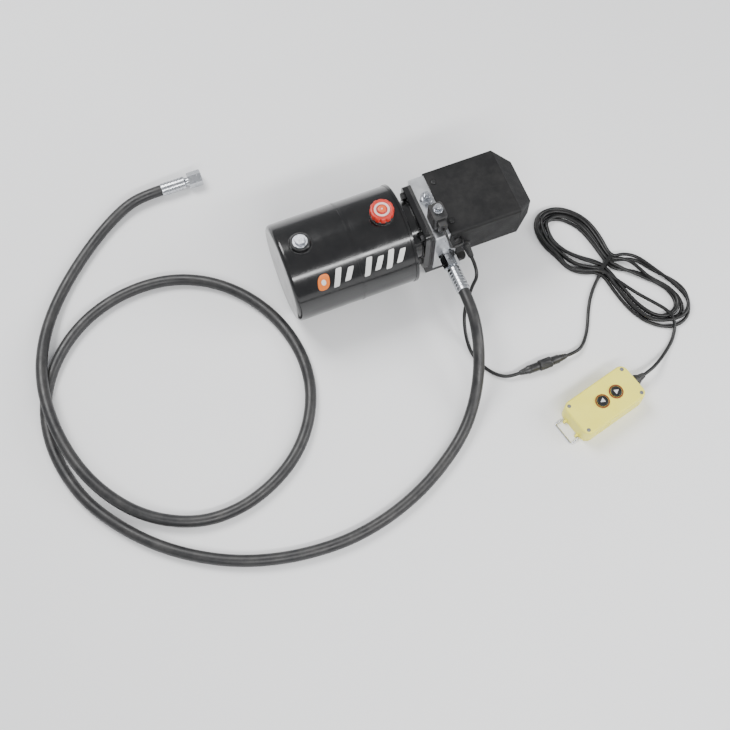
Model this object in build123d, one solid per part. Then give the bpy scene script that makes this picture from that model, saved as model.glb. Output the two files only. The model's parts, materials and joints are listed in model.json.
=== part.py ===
from build123d import *
import math
import os

# Electric hydraulic power unit with its pressure hose and a hand pendant on a lead.
# Millimetres. The origin is the centre of the foot's bolt pattern, on the floor.
# +X runs along the shaft from the oil tank to the motor, and +Z is up.

# ---------------------------------------------------------------- fits and clearances
RUNNING = 0.05          # radial gap of a turning journal
SLIDING = 0.30          # radial gap of a loose moving piece
ASSEMBLY = 0.10         # gap between pieces that are pushed together
BOLT_CLEAR = 0.5        # radial gap of a bolt in its plain hole
LEAD_CLEAR = 0.1        # cord to floor

# ---------------------------------------------------------------- gear pump
GEAR_MODULE = 2.0
GEAR_TEETH = 12
PRESSURE_ANGLE = math.radians(25)
TOOTH_THINNING = 0.12   # taken off each tooth's thickness as backlash
GEAR_WIDTH = 20.0
PITCH_RADIUS = GEAR_MODULE * GEAR_TEETH / 2
TIP_RADIUS = PITCH_RADIUS + GEAR_MODULE
ROOT_RADIUS = PITCH_RADIUS - 1.25 * GEAR_MODULE
CENTRE_DISTANCE = 2 * PITCH_RADIUS
JOURNAL_RADIUS = 6.0
BUSH_LENGTH = 11.0
PUMP_WALL = 7.0
PUMP_COVER_LENGTH = 10.0
PUMP_HALF_WIDTH = TIP_RADIUS + PUMP_WALL
PUMP_DROP = CENTRE_DISTANCE + TIP_RADIUS + PUMP_WALL
PUMP_LENGTH = GEAR_WIDTH + 2 * BUSH_LENGTH
PUMP_BOLT_RADIUS = 3.0

# ---------------------------------------------------------------- tank
TANK_RADIUS = 90.0
TANK_WALL = 2.0
TANK_LENGTH = 227.0
TANK_FLOOR_GAP = 3.0
BEAD_PROUD = 1.5        # how far the rolled seam stands out of the shell
BEAD_LENGTH = 5.0
CAP_RECESS = 9.0        # depth of the front head inside its rolled rim
CAP_CORNER = 8.0        # outer corner radius of the drawn end
CAP_SKIRT = 14.0        # length of the drawn end's wall
SEAM_FROM_END = 125.0   # weld between the shell's two lengths
SEAM_PROUD = 0.8
SEAM_HALF = 2.0
NECK_INNER = math.hypot(PUMP_HALF_WIDTH, PUMP_DROP) + 0.34
NECK_WALL = 4.0
NECK_LENGTH = 25.0
FLANGE_THICK = 10.0
HEAD_THICK = 3.0
BOSS_RADIUS = 20.0
BOSS_HEIGHT = 7.0
BREATHER_FROM_FRONT = 36.0
PLUG_FROM_FRONT = 187.0
BREATHER_BORE = 15.0
PLUG_BORE = 9.0
PLUG_AF = 17.0
CAP_RADIUS = 21.5
CAP_HEIGHT = 13.0
CAP_SCALLOPS = 12
GASKET_THICK = 2.0
STRAINER_RADIUS = 15.0
STRAINER_LENGTH = 50.0
PIPE_RADIUS = 5.0

# ---------------------------------------------------------------- bolts
FLANGE_BOLT_RADIUS = 4.0
FLANGE_BOLT_AF = 13.0
FLANGE_BOLT_HEAD = 5.5
MOTOR_BOLT_RADIUS = 2.5
MOTOR_BOLT_HEAD = 4.0
MOTOR_BOLT_AF = 8.0

# ---------------------------------------------------------------- bracket
PLATE_THICK = 6.0
FOOT_HALF_WIDTH = 50.0
FOOT_HOLE_RADIUS = 4.5
FOOT_SPACING_X = 44.0
FOOT_SPACING_Y = 76.0
FOOT_BEHIND = 40.0      # from the bolt pattern's centre back to the plate's tank side
FOOT_AHEAD = 44.0
GUSSET_THICK = 4.0
GUSSET_HEIGHT = 30.0

# ---------------------------------------------------------------- motor and relay
MOTOR_RADIUS = 42.0
YOKE_WALL = 5.0
YOKE_LENGTH = 90.0
DRIVE_PLATE_THICK = 10.0
REAR_CAP_THICK = 12.0
SHAFT_RADIUS = 6.0
BEARING_RADIUS = 14.0
BEARING_WIDTH = 8.0
MAGNET_THICK = 6.4
AIR_GAP = 0.8
CORE_LENGTH = 44.0
END_TURN = 8.0
COMMUTATOR_RADIUS = 14.0
COMMUTATOR_LENGTH = 14.0
CORE_SLOTS = 12
RELAY_RADIUS = 18.0
RELAY_LENGTH = 56.0
RELAY_ANGLE = math.radians(41.05)
RELAY_GAP = 1.7
STUD_RADIUS = 4.0
STRAP_THICK = 2.5
STRAP_RADIUS = 7.0

# ---------------------------------------------------------------- manifold and cover
PORT_BLOCK = 28.0       # exposed length between the bracket and the cover's mouth
COVER_SEAT = 22.0       # length of the reduced end that the cover slips over
SPIGOT_LENGTH = 26.0
SPIGOT_GAP = 0.15
RING_SECTION = 1.3      # the neck O-ring's own radius
COVER_WALL = 2.5
COVER_GAP = 0.5
INSIDE_GAP = 1.0        # from the relay to the cover
COVER_SIDE_DROP = 15.0  # the side walls end this far under the shaft axis
COVER_TAPER = 32.0
COVER_TAPER_IN = 24.0
COVER_FILLET = 6.0
CORNER_MIN = 3.0        # smallest corner radius of a drawn-in section
MOTOR_GAP = 5.5
FLOOR_HALF = 34.0       # half-width of the cover's flat underside

# ---------------------------------------------------------------- valves and ports
RELIEF_Y = 15.0
RELEASE_Y = -33.0
VALVE_HEX = 22.0
VALVE_DEPTH = 10.0      # cartridge length in the block
COIL_X = 27.0
COIL_Y = 34.0
COIL_Z = 34.0
STEM_RADIUS = 6.5
PIN_RADIUS = 3.0
PIN_TRAVEL = 3.0
PORT_X = -12.0
PORT_DROP = 3.0         # the pressure port's axis under the shaft axis
PORT_RADIUS = 9.0
FITTING_AF = 27.0
STEM_BORE = 7.95
FERRULE_RADIUS = 12.6
FERRULE_LENGTH = 50.0
NUT_LENGTH = 22.0
FAR_NUT_LENGTH = 26.0
FAR_THREAD_LENGTH = 16.0
THREAD_RADIUS = 8.75

# ---------------------------------------------------------------- cords and pendant
HOSE_RADIUS = 10.5
LEAD_RADIUS = 3.25
HANK_HEIGHT = 15.0
LEAD_X = 24.0
LEAD_RISE = 10.0        # the lead's gland above the shaft axis
GLAND_LENGTH = 28.0
RING_RADIUS = 10.0
PENDANT_X = 149.0
PENDANT_Y = -412.0
PENDANT_TURN = 14.0     # degrees from +X
CASE_LENGTH = 138.0
CASE_WIDTH = 72.0
CASE_HEIGHT = 40.0
CASE_SPLIT = 22.0
CASE_WALL = 2.5
CASE_TOP = 3.0
CASE_CORNER = 14.0
BUTTON_RADIUS = 9.9
BUTTON_TRAVEL = 2.5
BUTTON_U = (-7.0, 24.0)
CASE_GLAND = 25.0
BAIL_RADIUS = 1.5
BAIL_REACH = 16.0
BAIL_HALF = 22.0
LUG_HALF = 16.0         # from the case's centre line to each lug
BAIL_Z = 3.2

# ---------------------------------------------------------------- places that follow
AXIS_Z = TANK_RADIUS + TANK_FLOOR_GAP
PLATE_X0 = -FOOT_BEHIND
PLATE_X1 = PLATE_X0 + PLATE_THICK
FLANGE_X0 = PLATE_X0 - FLANGE_THICK
TANK_X1 = FLANGE_X0 - NECK_LENGTH
TANK_X0 = TANK_X1 - TANK_LENGTH
TANK_INNER = TANK_RADIUS - TANK_WALL
TANK_TOP = AXIS_Z + TANK_INNER
NECK_OUTER = NECK_INNER + NECK_WALL
SPIGOT_RADIUS = NECK_INNER - SPIGOT_GAP
SPIGOT_X = PLATE_X1 - SPIGOT_LENGTH
HEAD_CORNER = FLANGE_BOLT_AF / math.sqrt(3)
BOLT_PITCH = (NECK_OUTER + HEAD_CORNER + 0.7) / math.sqrt(2)
FLANGE_HALF = BOLT_PITCH + 14.0
MOUTH_X = PLATE_X1 + PORT_BLOCK
MOTOR_X0 = MOUTH_X + COVER_SEAT
YOKE_X0 = MOTOR_X0 + DRIVE_PLATE_THICK
YOKE_X1 = YOKE_X0 + YOKE_LENGTH
MOTOR_X1 = YOKE_X1 + REAR_CAP_THICK
YOKE_INNER = MOTOR_RADIUS - YOKE_WALL
CORE_RADIUS = YOKE_INNER - ASSEMBLY - MAGNET_THICK - AIR_GAP
BOLT_CIRCLE = YOKE_INNER - MOTOR_BOLT_RADIUS - 0.5
RELAY_REACH = MOTOR_RADIUS + RELAY_GAP + RELAY_RADIUS
RELAY_Y = RELAY_REACH * math.cos(RELAY_ANGLE)
RELAY_Z = AXIS_Z + RELAY_REACH * math.sin(RELAY_ANGLE)
COVER_HALF = RELAY_Y + RELAY_RADIUS + INSIDE_GAP + COVER_WALL
COVER_TOP = RELAY_Z - AXIS_Z + RELAY_RADIUS + INSIDE_GAP + COVER_WALL
COVER_BOTTOM = MOTOR_RADIUS + MOTOR_GAP + COVER_WALL
COVER_X1 = MOTOR_X1 + COVER_TAPER
BLOCK_TOP = AXIS_Z + COVER_TOP - COVER_WALL - COVER_GAP
BLOCK_HALF = COVER_HALF - COVER_WALL - COVER_GAP
BLOCK_BOTTOM = AXIS_Z - BOLT_PITCH - 8.0
PORT_Z = AXIS_Z - PORT_DROP
VALVE_X = PLATE_X1 + PORT_BLOCK / 2
DRIVEN_Z = AXIS_Z - CENTRE_DISTANCE
PUMP_X0 = SPIGOT_X - PUMP_LENGTH
PUMP_X2 = PUMP_X0 - PUMP_COVER_LENGTH
GEAR_X0 = PUMP_X0 + BUSH_LENGTH
GEAR_X1 = GEAR_X0 + GEAR_WIDTH
CHAMBER_X = MOUTH_X + 1.0
COUPLING_X0 = CHAMBER_X + 1.0
COUPLING_X1 = MOTOR_X0 - 1.0
COUPLING_MID = (COUPLING_X0 + COUPLING_X1) / 2
COUPLING_RADIUS = 12.0
SUCTION_X = TANK_X1 - CAP_RECESS - PIPE_RADIUS - 1.0
BREATHER_X = TANK_X1 - BREATHER_FROM_FRONT
PLUG_X = TANK_X1 - PLUG_FROM_FRONT
BOSS_TOP = AXIS_Z + TANK_RADIUS + BOSS_HEIGHT - TANK_WALL
STRAP_X = MOTOR_X1 + 1.0
RELAY_X1 = MOTOR_X1 - 16.0
RELAY_X0 = RELAY_X1 - RELAY_LENGTH
COMMUTATOR_X = YOKE_X0 + 66.0
CORE_X0 = YOKE_X0 + 12.0
CORE_X1 = CORE_X0 + CORE_LENGTH
LEAD_Z = AXIS_Z + LEAD_RISE

# ---------------------------------------------------------------- cord routes
# The pressure hose: level out of its ferrule, down to the floor, one wide sweep round a
# full inner loop that rides over the first pass, and back to the far fitting.
FERRULE_END_Y = -BLOCK_HALF - 33.0 - FERRULE_LENGTH
FAR_END = (-446.0, 291.0, 15.8)
HOSE_ROUTE = [
    (PORT_X, FERRULE_END_Y, PORT_Z), (PORT_X, FERRULE_END_Y - 34, PORT_Z), (-18, -222, 82),
    (-28, -260, 62), (-44, -297, 39), (-68, -334, 21), (-102, -371, 12.6), (-150, -406, 10.6),
    (-210, -439, 10.6), (-279, -463, 10.6), (-352, -475, 10.6), (-425, -472, 10.6),
    (-493, -459, 10.6), (-557, -436, 10.6), (-618, -401, 10.6), (-672, -358, 10.6),
    (-719, -304, 10.6), (-755, -247, 10.6), (-776, -184, 10.6), (-784, -119, 10.6),
    (-775, -54, 10.6), (-750, 0, 10.6), (-712, 46, 10.6), (-664, 82, 10.6), (-606, 105, 10.6),
    (-544, 113, 10.6), (-482, 105, 10.6), (-425, 78, 10.6), (-378, 36, 10.6), (-343, -16, 10.6),
    (-321, -74, 10.6), (-313, -136, 10.6), (-322, -198, 10.6), (-350, -256, 10.6),
    (-392, -303, 10.6), (-446, -336, 10.6), (-507, -355, 10.6), (-569, -356, 11.5),
    (-626, -337, 15), (-677, -303, 22), (-717, -255, 31), (-745, -199, 36), (-761, -138, 37),
    (-767, -78, 37), (-764, -20, 35), (-751, 36, 29), (-727, 92, 19), (-692, 145, 11.5),
    (-645, 194, 10.6), (-597, 235, 10.6), (-552, 266, 11.5), (-510, 286, 14.5), (-473, 291, 15.8),
    FAR_END]

# The pump's lead: out of its gland, down under the hose and along it, to the connector.
SOCKET_X0 = 38.0
CONNECTOR_X = 84.0
CONNECTOR_Y = -302.0
CONNECTOR_Z = RING_RADIUS + 0.2
GLAND_END_Y = -COVER_HALF - GLAND_LENGTH
LEAD_ROUTE = [
    (LEAD_X, GLAND_END_Y, LEAD_Z), (LEAD_X, GLAND_END_Y - 18, LEAD_Z), (21, -132, 92),
    (10, -138, 74), (0, -148, 55), (-11, -160, 37), (-19, -179, 21), (-24, -202, 9),
    (-26, -225, 3.5), (-23, -246, 3.5), (-16, -265, 3.5), (-6, -282, 4.5), (6, -295, 7.5),
    (21, -302, CONNECTOR_Z), (SOCKET_X0, CONNECTOR_Y, CONNECTOR_Z)]

# The pendant's lead: from the connector to the hank, and from the hank to the pendant.
PLUG_X1 = 130.0
CABLE_IN_ROUTE = [
    (PLUG_X1, CONNECTOR_Y, CONNECTOR_Z), (146, CONNECTOR_Y, CONNECTOR_Z), (164, -296, 6.5),
    (181, -279, 3.5), (195, -258, 3.5), (207, -235, 3.5), (221, -213, 3.5), (238, -193, 3.5),
    (268, -168, 4)]

# Outlines of the tied hank: two open lobes that cross at the tie.
CROSSING = (280.0, -158.0)
LEFT_OUTER = [(293, -152), (299, -100), (288, -50), (250, -11), (205, -10), (184, -38),
              (184, -80), (197, -112), (200, -143), (226, -164), (266, -173)]
LEFT_INNER = [(270, -104), (261, -66), (237, -38), (212, -42), (211, -76), (227, -106),
              (246, -128), (263, -138)]
RIGHT_OUTER = [(286, -145), (324, -142), (353, -160), (368, -198), (395, -245), (399, -288),
               (374, -318), (335, -324), (299, -301), (276, -262), (265, -215), (267, -173)]
RIGHT_INNER = [(299, -188), (334, -213), (360, -243), (366, -274), (350, -291), (323, -287),
               (304, -262), (294, -226)]
CABLE_OUT_MIDDLE = [(342, -305, 4), (341, -320, 3.5), (331, -336, 3.5), (317, -349, 3.5),
                    (300, -361, 6), (281, -373, 13)]


# ================================================================ helpers
def x_rod(radius, x0, x1, y=0.0, z=AXIS_Z):
    """A cylinder along X."""
    return Pos((x0 + x1) / 2, y, z) * Rot(0, 90, 0) * Cylinder(radius, abs(x1 - x0))


def y_rod(radius, y0, y1, x, z):
    """A cylinder along Y."""
    return Pos(x, (y0 + y1) / 2, z) * Rot(90, 0, 0) * Cylinder(radius, abs(y1 - y0))


def z_rod(radius, z0, z1, x, y):
    """A cylinder along Z."""
    return Pos(x, y, (z0 + z1) / 2) * Cylinder(radius, abs(z1 - z0))


def block(x0, x1, y0, y1, z0, z1):
    """A box between two corners."""
    centre = Pos((x0 + x1) / 2, (y0 + y1) / 2, (z0 + z1) / 2)
    return centre * Box(x1 - x0, y1 - y0, z1 - z0)


def hex_prism(across_flats, length):
    """A hexagon along +Z from the origin with its top and bottom corners eased."""
    body = extrude(RegularPolygon(across_flats / 2, 6, major_radius=False), length)
    corner = across_flats / math.sqrt(3)
    ease = 0.6 * (corner - across_flats / 2)
    barrel = Pos(0, 0, length / 2) * Cylinder(corner, length)
    barrel = chamfer(barrel.edges().filter_by(GeomType.CIRCLE), ease)
    return body & barrel


def x_hex(across_flats, x0, x1, y=0.0, z=AXIS_Z):
    """A hexagon bar along X."""
    return Pos(x0, y, z) * Rot(0, 90, 0) * hex_prism(across_flats, x1 - x0)


def y_hex(across_flats, y0, y1, x, z):
    """A hexagon bar along -Y, from y0 to the lower y1."""
    return Pos(x, y0, z) * Rot(90, 0, 0) * hex_prism(across_flats, y0 - y1)


def z_hex(across_flats, z0, z1, x, y):
    """A hexagon bar along Z."""
    return Pos(x, y, z0) * hex_prism(across_flats, z1 - z0)


def facing_motor(x, z):
    """The plane across the shaft at x, with its own X to the far side and its Y up."""
    return Plane(origin=(x, 0, z), x_dir=(0, 1, 0), z_dir=(1, 0, 0))


def turned(points):
    """A body of revolution about X from (x, radius) points."""
    return revolve(make_face(Polyline(*points, close=True)), Axis.X)


def route_radii(name, points):
    """The arc at each corner, as large as its two runs allow; prints them."""
    vectors = [Vector(*point) for point in points]
    radii = []
    for before, here, after in zip(vectors, vectors[1:], vectors[2:]):
        arriving = here - before
        leaving = after - here
        half_turn = math.radians(arriving.get_angle(leaving)) / 2
        radii.append(0.45 * min(arriving.length, leaving.length) / math.tan(half_turn))
    print(name, "radii", " ".join(f"{radius:.0f}" for radius in radii))
    return radii


def cord(name, points, radius):
    """A round cord along straight runs joined by tangent arcs."""
    path = FilletPolyline(*points, radius=route_radii(name, points))
    start = Plane(origin=path @ 0, z_dir=path % 0)
    tube = sweep(start * Circle(radius), path=path)
    section = math.pi * radius * radius
    print(name, f"length {path.length:.1f} volume ratio {tube.volume / (section * path.length):.4f}")
    return tube


def on_pendant(shape):
    """Places a shape of the pendant's own frame, where +X points to its gland."""
    return Pos(PENDANT_X, PENDANT_Y, 0) * Rot(0, 0, PENDANT_TURN) * shape


def pendant_point(along, across, height):
    """A point of the pendant's own frame, in the model's frame."""
    turn = math.radians(PENDANT_TURN)
    x = PENDANT_X + along * math.cos(turn) - across * math.sin(turn)
    y = PENDANT_Y + along * math.sin(turn) + across * math.cos(turn)
    return (x, y, height)


# ================================================================ tank
def seam_rim(x_edge, inward):
    """Points of a rolled seam that folds over the shell's edge; inward is +1 or -1."""
    inner = TANK_INNER - ASSEMBLY
    return [
        (x_edge + inward * CAP_RECESS, inner - 2.5), (x_edge + inward * CAP_RECESS, inner),
        (x_edge, inner), (x_edge, TANK_RADIUS + ASSEMBLY),
        (x_edge + inward * (BEAD_LENGTH - 1), TANK_RADIUS + ASSEMBLY),
        (x_edge + inward * (BEAD_LENGTH - 1.5), TANK_RADIUS + BEAD_PROUD),
        (x_edge - inward, TANK_RADIUS + BEAD_PROUD),
        (x_edge - inward * 2.2, TANK_RADIUS + 0.3), (x_edge - inward * 2.2, inner - 1.3),
        (x_edge - inward, inner - 2.5)]


def tank_shell():
    """Rolled steel shell in two welded lengths, with the filler boss and the plug boss on top."""
    shell = x_rod(TANK_RADIUS, TANK_X0 + CAP_SKIRT, TANK_X1)
    seam_x = TANK_X0 + SEAM_FROM_END
    seam = x_rod(TANK_RADIUS + SEAM_PROUD, seam_x - SEAM_HALF, seam_x + SEAM_HALF)
    shell += chamfer(seam.edges().filter_by(GeomType.CIRCLE), 0.5 * SEAM_PROUD)
    shell -= x_rod(TANK_INNER, TANK_X0, TANK_X1 + 1)
    for x, radius in ((BREATHER_X, BOSS_RADIUS), (PLUG_X, BOSS_RADIUS - 2)):
        boss = z_rod(radius, TANK_TOP - 4, BOSS_TOP, x, 0)
        boss = chamfer(boss.edges().group_by(Axis.Z)[-1], 1.0)
        shell += boss - x_rod(TANK_INNER, TANK_X0, TANK_X1)
    shell -= z_rod(BREATHER_BORE, TANK_TOP - 10, BOSS_TOP + 1, BREATHER_X, 0)
    shell -= z_rod(PLUG_BORE, TANK_TOP - 10, BOSS_TOP + 1, PLUG_X, 0)
    return shell


def tank_end_cap():
    """Blind end of the tank: a flat drawn cup with a rounded corner, butted to the shell."""
    x1 = TANK_X0 + CAP_SKIRT
    cup = x_rod(TANK_RADIUS, TANK_X0, x1)
    cup = fillet(cup.edges().group_by(Axis.X)[0], CAP_CORNER)
    inside = x_rod(TANK_INNER, TANK_X0 + TANK_WALL, x1 + 1)
    return cup - fillet(inside.edges().group_by(Axis.X)[0], CAP_CORNER - TANK_WALL)


def tank_front_head():
    """Pump end of the tank: head ring, neck tube and square flange, welded."""
    face_x = TANK_X1 - CAP_RECESS
    head = turned(seam_rim(TANK_X1, -1))
    edge = TANK_INNER - ASSEMBLY - 1.0
    head += turned([(face_x, NECK_INNER), (face_x + HEAD_THICK, NECK_INNER),
                    (face_x + HEAD_THICK, edge), (face_x, edge)])
    neck = turned([(face_x, NECK_INNER), (FLANGE_X0 + 1, NECK_INNER),
                   (FLANGE_X0 + 1, NECK_OUTER), (face_x, NECK_OUTER)])
    side = 2 * FLANGE_HALF
    flange = Box(FLANGE_THICK, side, side)
    flange = fillet(flange.edges().filter_by(Axis.X), 8)
    flange = Pos((FLANGE_X0 + PLATE_X0) / 2, 0, 0) * flange
    flange = chamfer(flange.edges().group_by(Axis.X)[0], 0.8)
    flange -= x_rod(NECK_INNER, FLANGE_X0 - 1, PLATE_X0 + 1, 0, 0)
    for y, z in corner_pairs(BOLT_PITCH):
        flange -= x_rod(FLANGE_BOLT_RADIUS + BOLT_CLEAR, FLANGE_X0 - 1, PLATE_X0 + 1, y, z)
    return Pos(0, 0, AXIS_Z) * (head + neck + flange)


def corner_pairs(half):
    """The four corners of a square of the given half side."""
    return [(y * half, z * half) for y in (-1, 1) for z in (-1, 1)]


def top_plug():
    """Bright hexagon plug in the rear boss."""
    plug = z_rod(PLUG_BORE, TANK_TOP - 6, BOSS_TOP, PLUG_X, 0)
    plug += z_rod(PLUG_BORE + 4, BOSS_TOP, BOSS_TOP + 2, PLUG_X, 0)
    plug += z_hex(PLUG_AF, BOSS_TOP + 2, BOSS_TOP + 9, PLUG_X, 0)
    return plug


def breather_gasket():
    """Flat seal ring under the breather cap."""
    ring = z_rod(BOSS_RADIUS - 1, BOSS_TOP, BOSS_TOP + GASKET_THICK, BREATHER_X, 0)
    return ring - z_rod(BREATHER_BORE + SLIDING, BOSS_TOP - 1, BOSS_TOP + 4, BREATHER_X, 0)


def breather_cap():
    """Scalloped cap with a raised centre button and a stem in the filler boss."""
    base = BOSS_TOP + GASKET_THICK
    cap = z_rod(CAP_RADIUS, base, base + CAP_HEIGHT, BREATHER_X, 0)
    cap = chamfer(cap.edges().group_by(Axis.Z)[-1], 2.0)
    for index in range(CAP_SCALLOPS):
        angle = math.radians(360 / CAP_SCALLOPS * index)
        reach = CAP_RADIUS + 1.6
        x = BREATHER_X + reach * math.cos(angle)
        cap -= z_rod(3.4, base - 1, base + CAP_HEIGHT + 1, x, reach * math.sin(angle))
    cap -= z_rod(14.5, base + CAP_HEIGHT - 1.5, base + CAP_HEIGHT + 1, BREATHER_X, 0)
    cap += z_rod(8.5, base + CAP_HEIGHT - 2, base + CAP_HEIGHT + 1.5, BREATHER_X, 0)
    return cap + z_rod(BREATHER_BORE - RUNNING, TANK_TOP - 6, base, BREATHER_X, 0)


def tank_o_ring():
    """Seal between the manifold's spigot and the tank's neck."""
    ring = Rot(0, 90, 0) * Torus(SPIGOT_RADIUS - RING_SECTION + ASSEMBLY, RING_SECTION)
    return Pos(SPIGOT_X + 6, 0, AXIS_Z) * ring


def suction_strainer():
    """Ribbed mesh can on the suction pipe, low in the tank."""
    x1 = PUMP_X2 - 2.0
    y, z = strainer_place()
    can = x_rod(STRAINER_RADIUS, x1 - STRAINER_LENGTH, x1, y, z)
    can = chamfer(can.edges().filter_by(GeomType.CIRCLE), 1.5)
    for index in range(1, 5):
        x = x1 - STRAINER_LENGTH * index / 5
        groove = x_rod(STRAINER_RADIUS + 1, x - 1, x + 1, y, z)
        can -= groove - x_rod(STRAINER_RADIUS - 1.2, x - 1, x + 1, y, z)
    return can


def strainer_place():
    """Y and Z of the strainer's axis, a clearance inside the shell."""
    reach = TANK_INNER - STRAINER_RADIUS - 8.0
    return reach * math.sin(math.radians(32)), AXIS_Z - reach * math.cos(math.radians(32))


def tank_pipes():
    """Suction pipe from the pump's side to the strainer, and the return pipe."""
    y, z = strainer_place()
    x = SUCTION_X
    z_port = AXIS_Z - CENTRE_DISTANCE / 2
    path = FilletPolyline((x, PUMP_HALF_WIDTH, z_port), (x, y, z_port), (x, y, z),
                          (PUMP_X2 - 2.0, y, z), radius=9)
    start = Plane(origin=path @ 0, z_dir=path % 0)
    suction = sweep(start * Circle(PIPE_RADIUS), path=path)
    side = PUMP_HALF_WIDTH + 7.0
    low = AXIS_Z - side
    down = (PUMP_X2 - 40.0, -side, low - 32.0)
    path = FilletPolyline((SPIGOT_X, -side, low), (down[0], -side, low), down, radius=12)
    start = Plane(origin=path @ 0, z_dir=path % 0)
    return suction, sweep(start * Circle(PIPE_RADIUS - 0.5), path=path)


# ================================================================ bracket
def mounting_bracket():
    """Welded foot bracket: upright plate with the spigot's bore, foot and two gussets."""
    top = AXIS_Z + FLANGE_HALF
    waist = AXIS_Z - FLANGE_HALF
    outline = Polyline((-FOOT_HALF_WIDTH, 0), (FOOT_HALF_WIDTH, 0), (FOOT_HALF_WIDTH, waist - 8),
                       (FLANGE_HALF, waist), (FLANGE_HALF, top), (-FLANGE_HALF, top),
                       (-FLANGE_HALF, waist), (-FOOT_HALF_WIDTH, waist - 8), close=True)
    plate = extrude(Plane.YZ.offset(PLATE_X0) * make_face(outline), PLATE_THICK)
    corners = plate.edges().filter_by(Axis.X).group_by(Axis.Z)[-1]
    plate = fillet(corners, 8)
    plate -= x_rod(SPIGOT_RADIUS + BOLT_CLEAR, PLATE_X0 - 1, PLATE_X1 + 1)
    for y, z in corner_pairs(BOLT_PITCH):
        plate -= x_rod(FLANGE_BOLT_RADIUS + BOLT_CLEAR, PLATE_X0 - 1, PLATE_X1 + 1, y, AXIS_Z + z)
    foot = block(PLATE_X0, FOOT_AHEAD, -FOOT_HALF_WIDTH, FOOT_HALF_WIDTH, 0, PLATE_THICK)
    front = foot.edges().filter_by(Axis.Z).group_by(Axis.X)[-1]
    foot = fillet(front, 8)
    for x in (-FOOT_SPACING_X / 2, FOOT_SPACING_X / 2):
        for y in (-FOOT_SPACING_Y / 2, FOOT_SPACING_Y / 2):
            foot -= z_rod(FOOT_HOLE_RADIUS, -1, PLATE_THICK + 1, x, y)
    bracket = plate + foot
    for y in (-FOOT_HALF_WIDTH, FOOT_HALF_WIDTH - GUSSET_THICK):
        rib = Polyline((PLATE_X1 - 1, PLATE_THICK - 1), (FOOT_AHEAD - 12, PLATE_THICK - 1),
                       (FOOT_AHEAD - 12, PLATE_THICK + 2), (PLATE_X1 + 6, GUSSET_HEIGHT),
                       (PLATE_X1 - 1, GUSSET_HEIGHT), close=True)
        bracket += Pos(0, y, 0) * Rot(90, 0, 0) * extrude(make_face(rib), -GUSSET_THICK)
    return bracket


def clamp_bolts():
    """Hexagon bolts that hold tank, bracket and manifold together."""
    bolts = []
    for y, z in corner_pairs(BOLT_PITCH):
        bolt = x_rod(FLANGE_BOLT_RADIUS, FLANGE_X0, PLATE_X1 + 14, y, AXIS_Z + z)
        bolt += x_hex(FLANGE_BOLT_AF, FLANGE_X0 - FLANGE_BOLT_HEAD, FLANGE_X0, y, AXIS_Z + z)
        bolts.append(bolt)
    return bolts


# ================================================================ manifold
def cover_section(inset):
    """Cross-section of the motor cover about the shaft axis, drawn in by inset."""
    sketch = make_face(Polyline(
        (-COVER_HALF, -COVER_SIDE_DROP), (-FLOOR_HALF, -COVER_BOTTOM), (FLOOR_HALF, -COVER_BOTTOM),
        (COVER_HALF, -COVER_SIDE_DROP), (COVER_HALF, COVER_TOP), (-COVER_HALF, COVER_TOP),
        close=True))
    if inset > 0:
        sketch = offset(sketch, amount=-inset, kind=Kind.INTERSECTION)
    return fillet(sketch.vertices(), max(COVER_FILLET - inset, CORNER_MIN))


def section_at(x, inset):
    """The cover's cross-section standing at x on the shaft axis."""
    return facing_motor(x, AXIS_Z) * cover_section(inset)


def manifold():
    """Aluminium valve block with its spigot, ports and coupling chamber."""
    body = block(PLATE_X1, MOUTH_X, -BLOCK_HALF, BLOCK_HALF, BLOCK_BOTTOM, BLOCK_TOP)
    body = chamfer(body.edges().filter_by(Axis.X), 2.0)
    seat = extrude(section_at(MOUTH_X - 1, COVER_WALL + COVER_GAP), COVER_SEAT + 1)
    body += seat
    spigot = x_rod(SPIGOT_RADIUS, SPIGOT_X, PLATE_X1 + 1)
    groove = x_rod(SPIGOT_RADIUS + 1, SPIGOT_X + 4, SPIGOT_X + 8)
    spigot -= groove - x_rod(SPIGOT_RADIUS - 2 * RING_SECTION, SPIGOT_X + 4, SPIGOT_X + 8)
    body += spigot
    body -= x_rod(SHAFT_RADIUS + 0.5, SPIGOT_X - 1, MOTOR_X0 + 1)
    body -= x_rod(COUPLING_RADIUS + 2.5, CHAMBER_X, MOTOR_X0 + 1)
    body -= x_rod(11.0, CHAMBER_X - 6, CHAMBER_X + 1)
    for y, z in corner_pairs(BOLT_PITCH):
        body -= x_rod(FLANGE_BOLT_RADIUS, PLATE_X1 - 1, PLATE_X1 + 15, y, AXIS_Z + z)
    for y, z in pump_bolt_places():
        body -= x_rod(PUMP_BOLT_RADIUS, SPIGOT_X - 1, SPIGOT_X + 12, y, z)
    for y, z in motor_bolt_places():
        body -= x_rod(MOTOR_BOLT_RADIUS, MOTOR_X0 - 12, MOTOR_X0 + 1, y, z)
    body -= y_rod(PORT_RADIUS, -BLOCK_HALF - 1, -BLOCK_HALF + 18, PORT_X, PORT_Z)
    body -= y_rod(PORT_RADIUS - 2, BLOCK_HALF - 12, BLOCK_HALF + 1, VALVE_X, AXIS_Z + 20)
    body -= y_rod(PORT_RADIUS - 2, BLOCK_HALF - 12, BLOCK_HALF + 1, VALVE_X, AXIS_Z - 20)
    for y in (RELIEF_Y, RELEASE_Y):
        body -= z_rod(PORT_RADIUS, BLOCK_TOP - VALVE_DEPTH - 0.5, BLOCK_TOP + 1, VALVE_X, y)
    for x, y, z, side in cover_screw_places():
        if side == 0:
            body -= z_rod(2.0, z - 14, z, x, y)
        else:
            body -= y_rod(2.0, y - side * 14, y, x, z)
    return body


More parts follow.
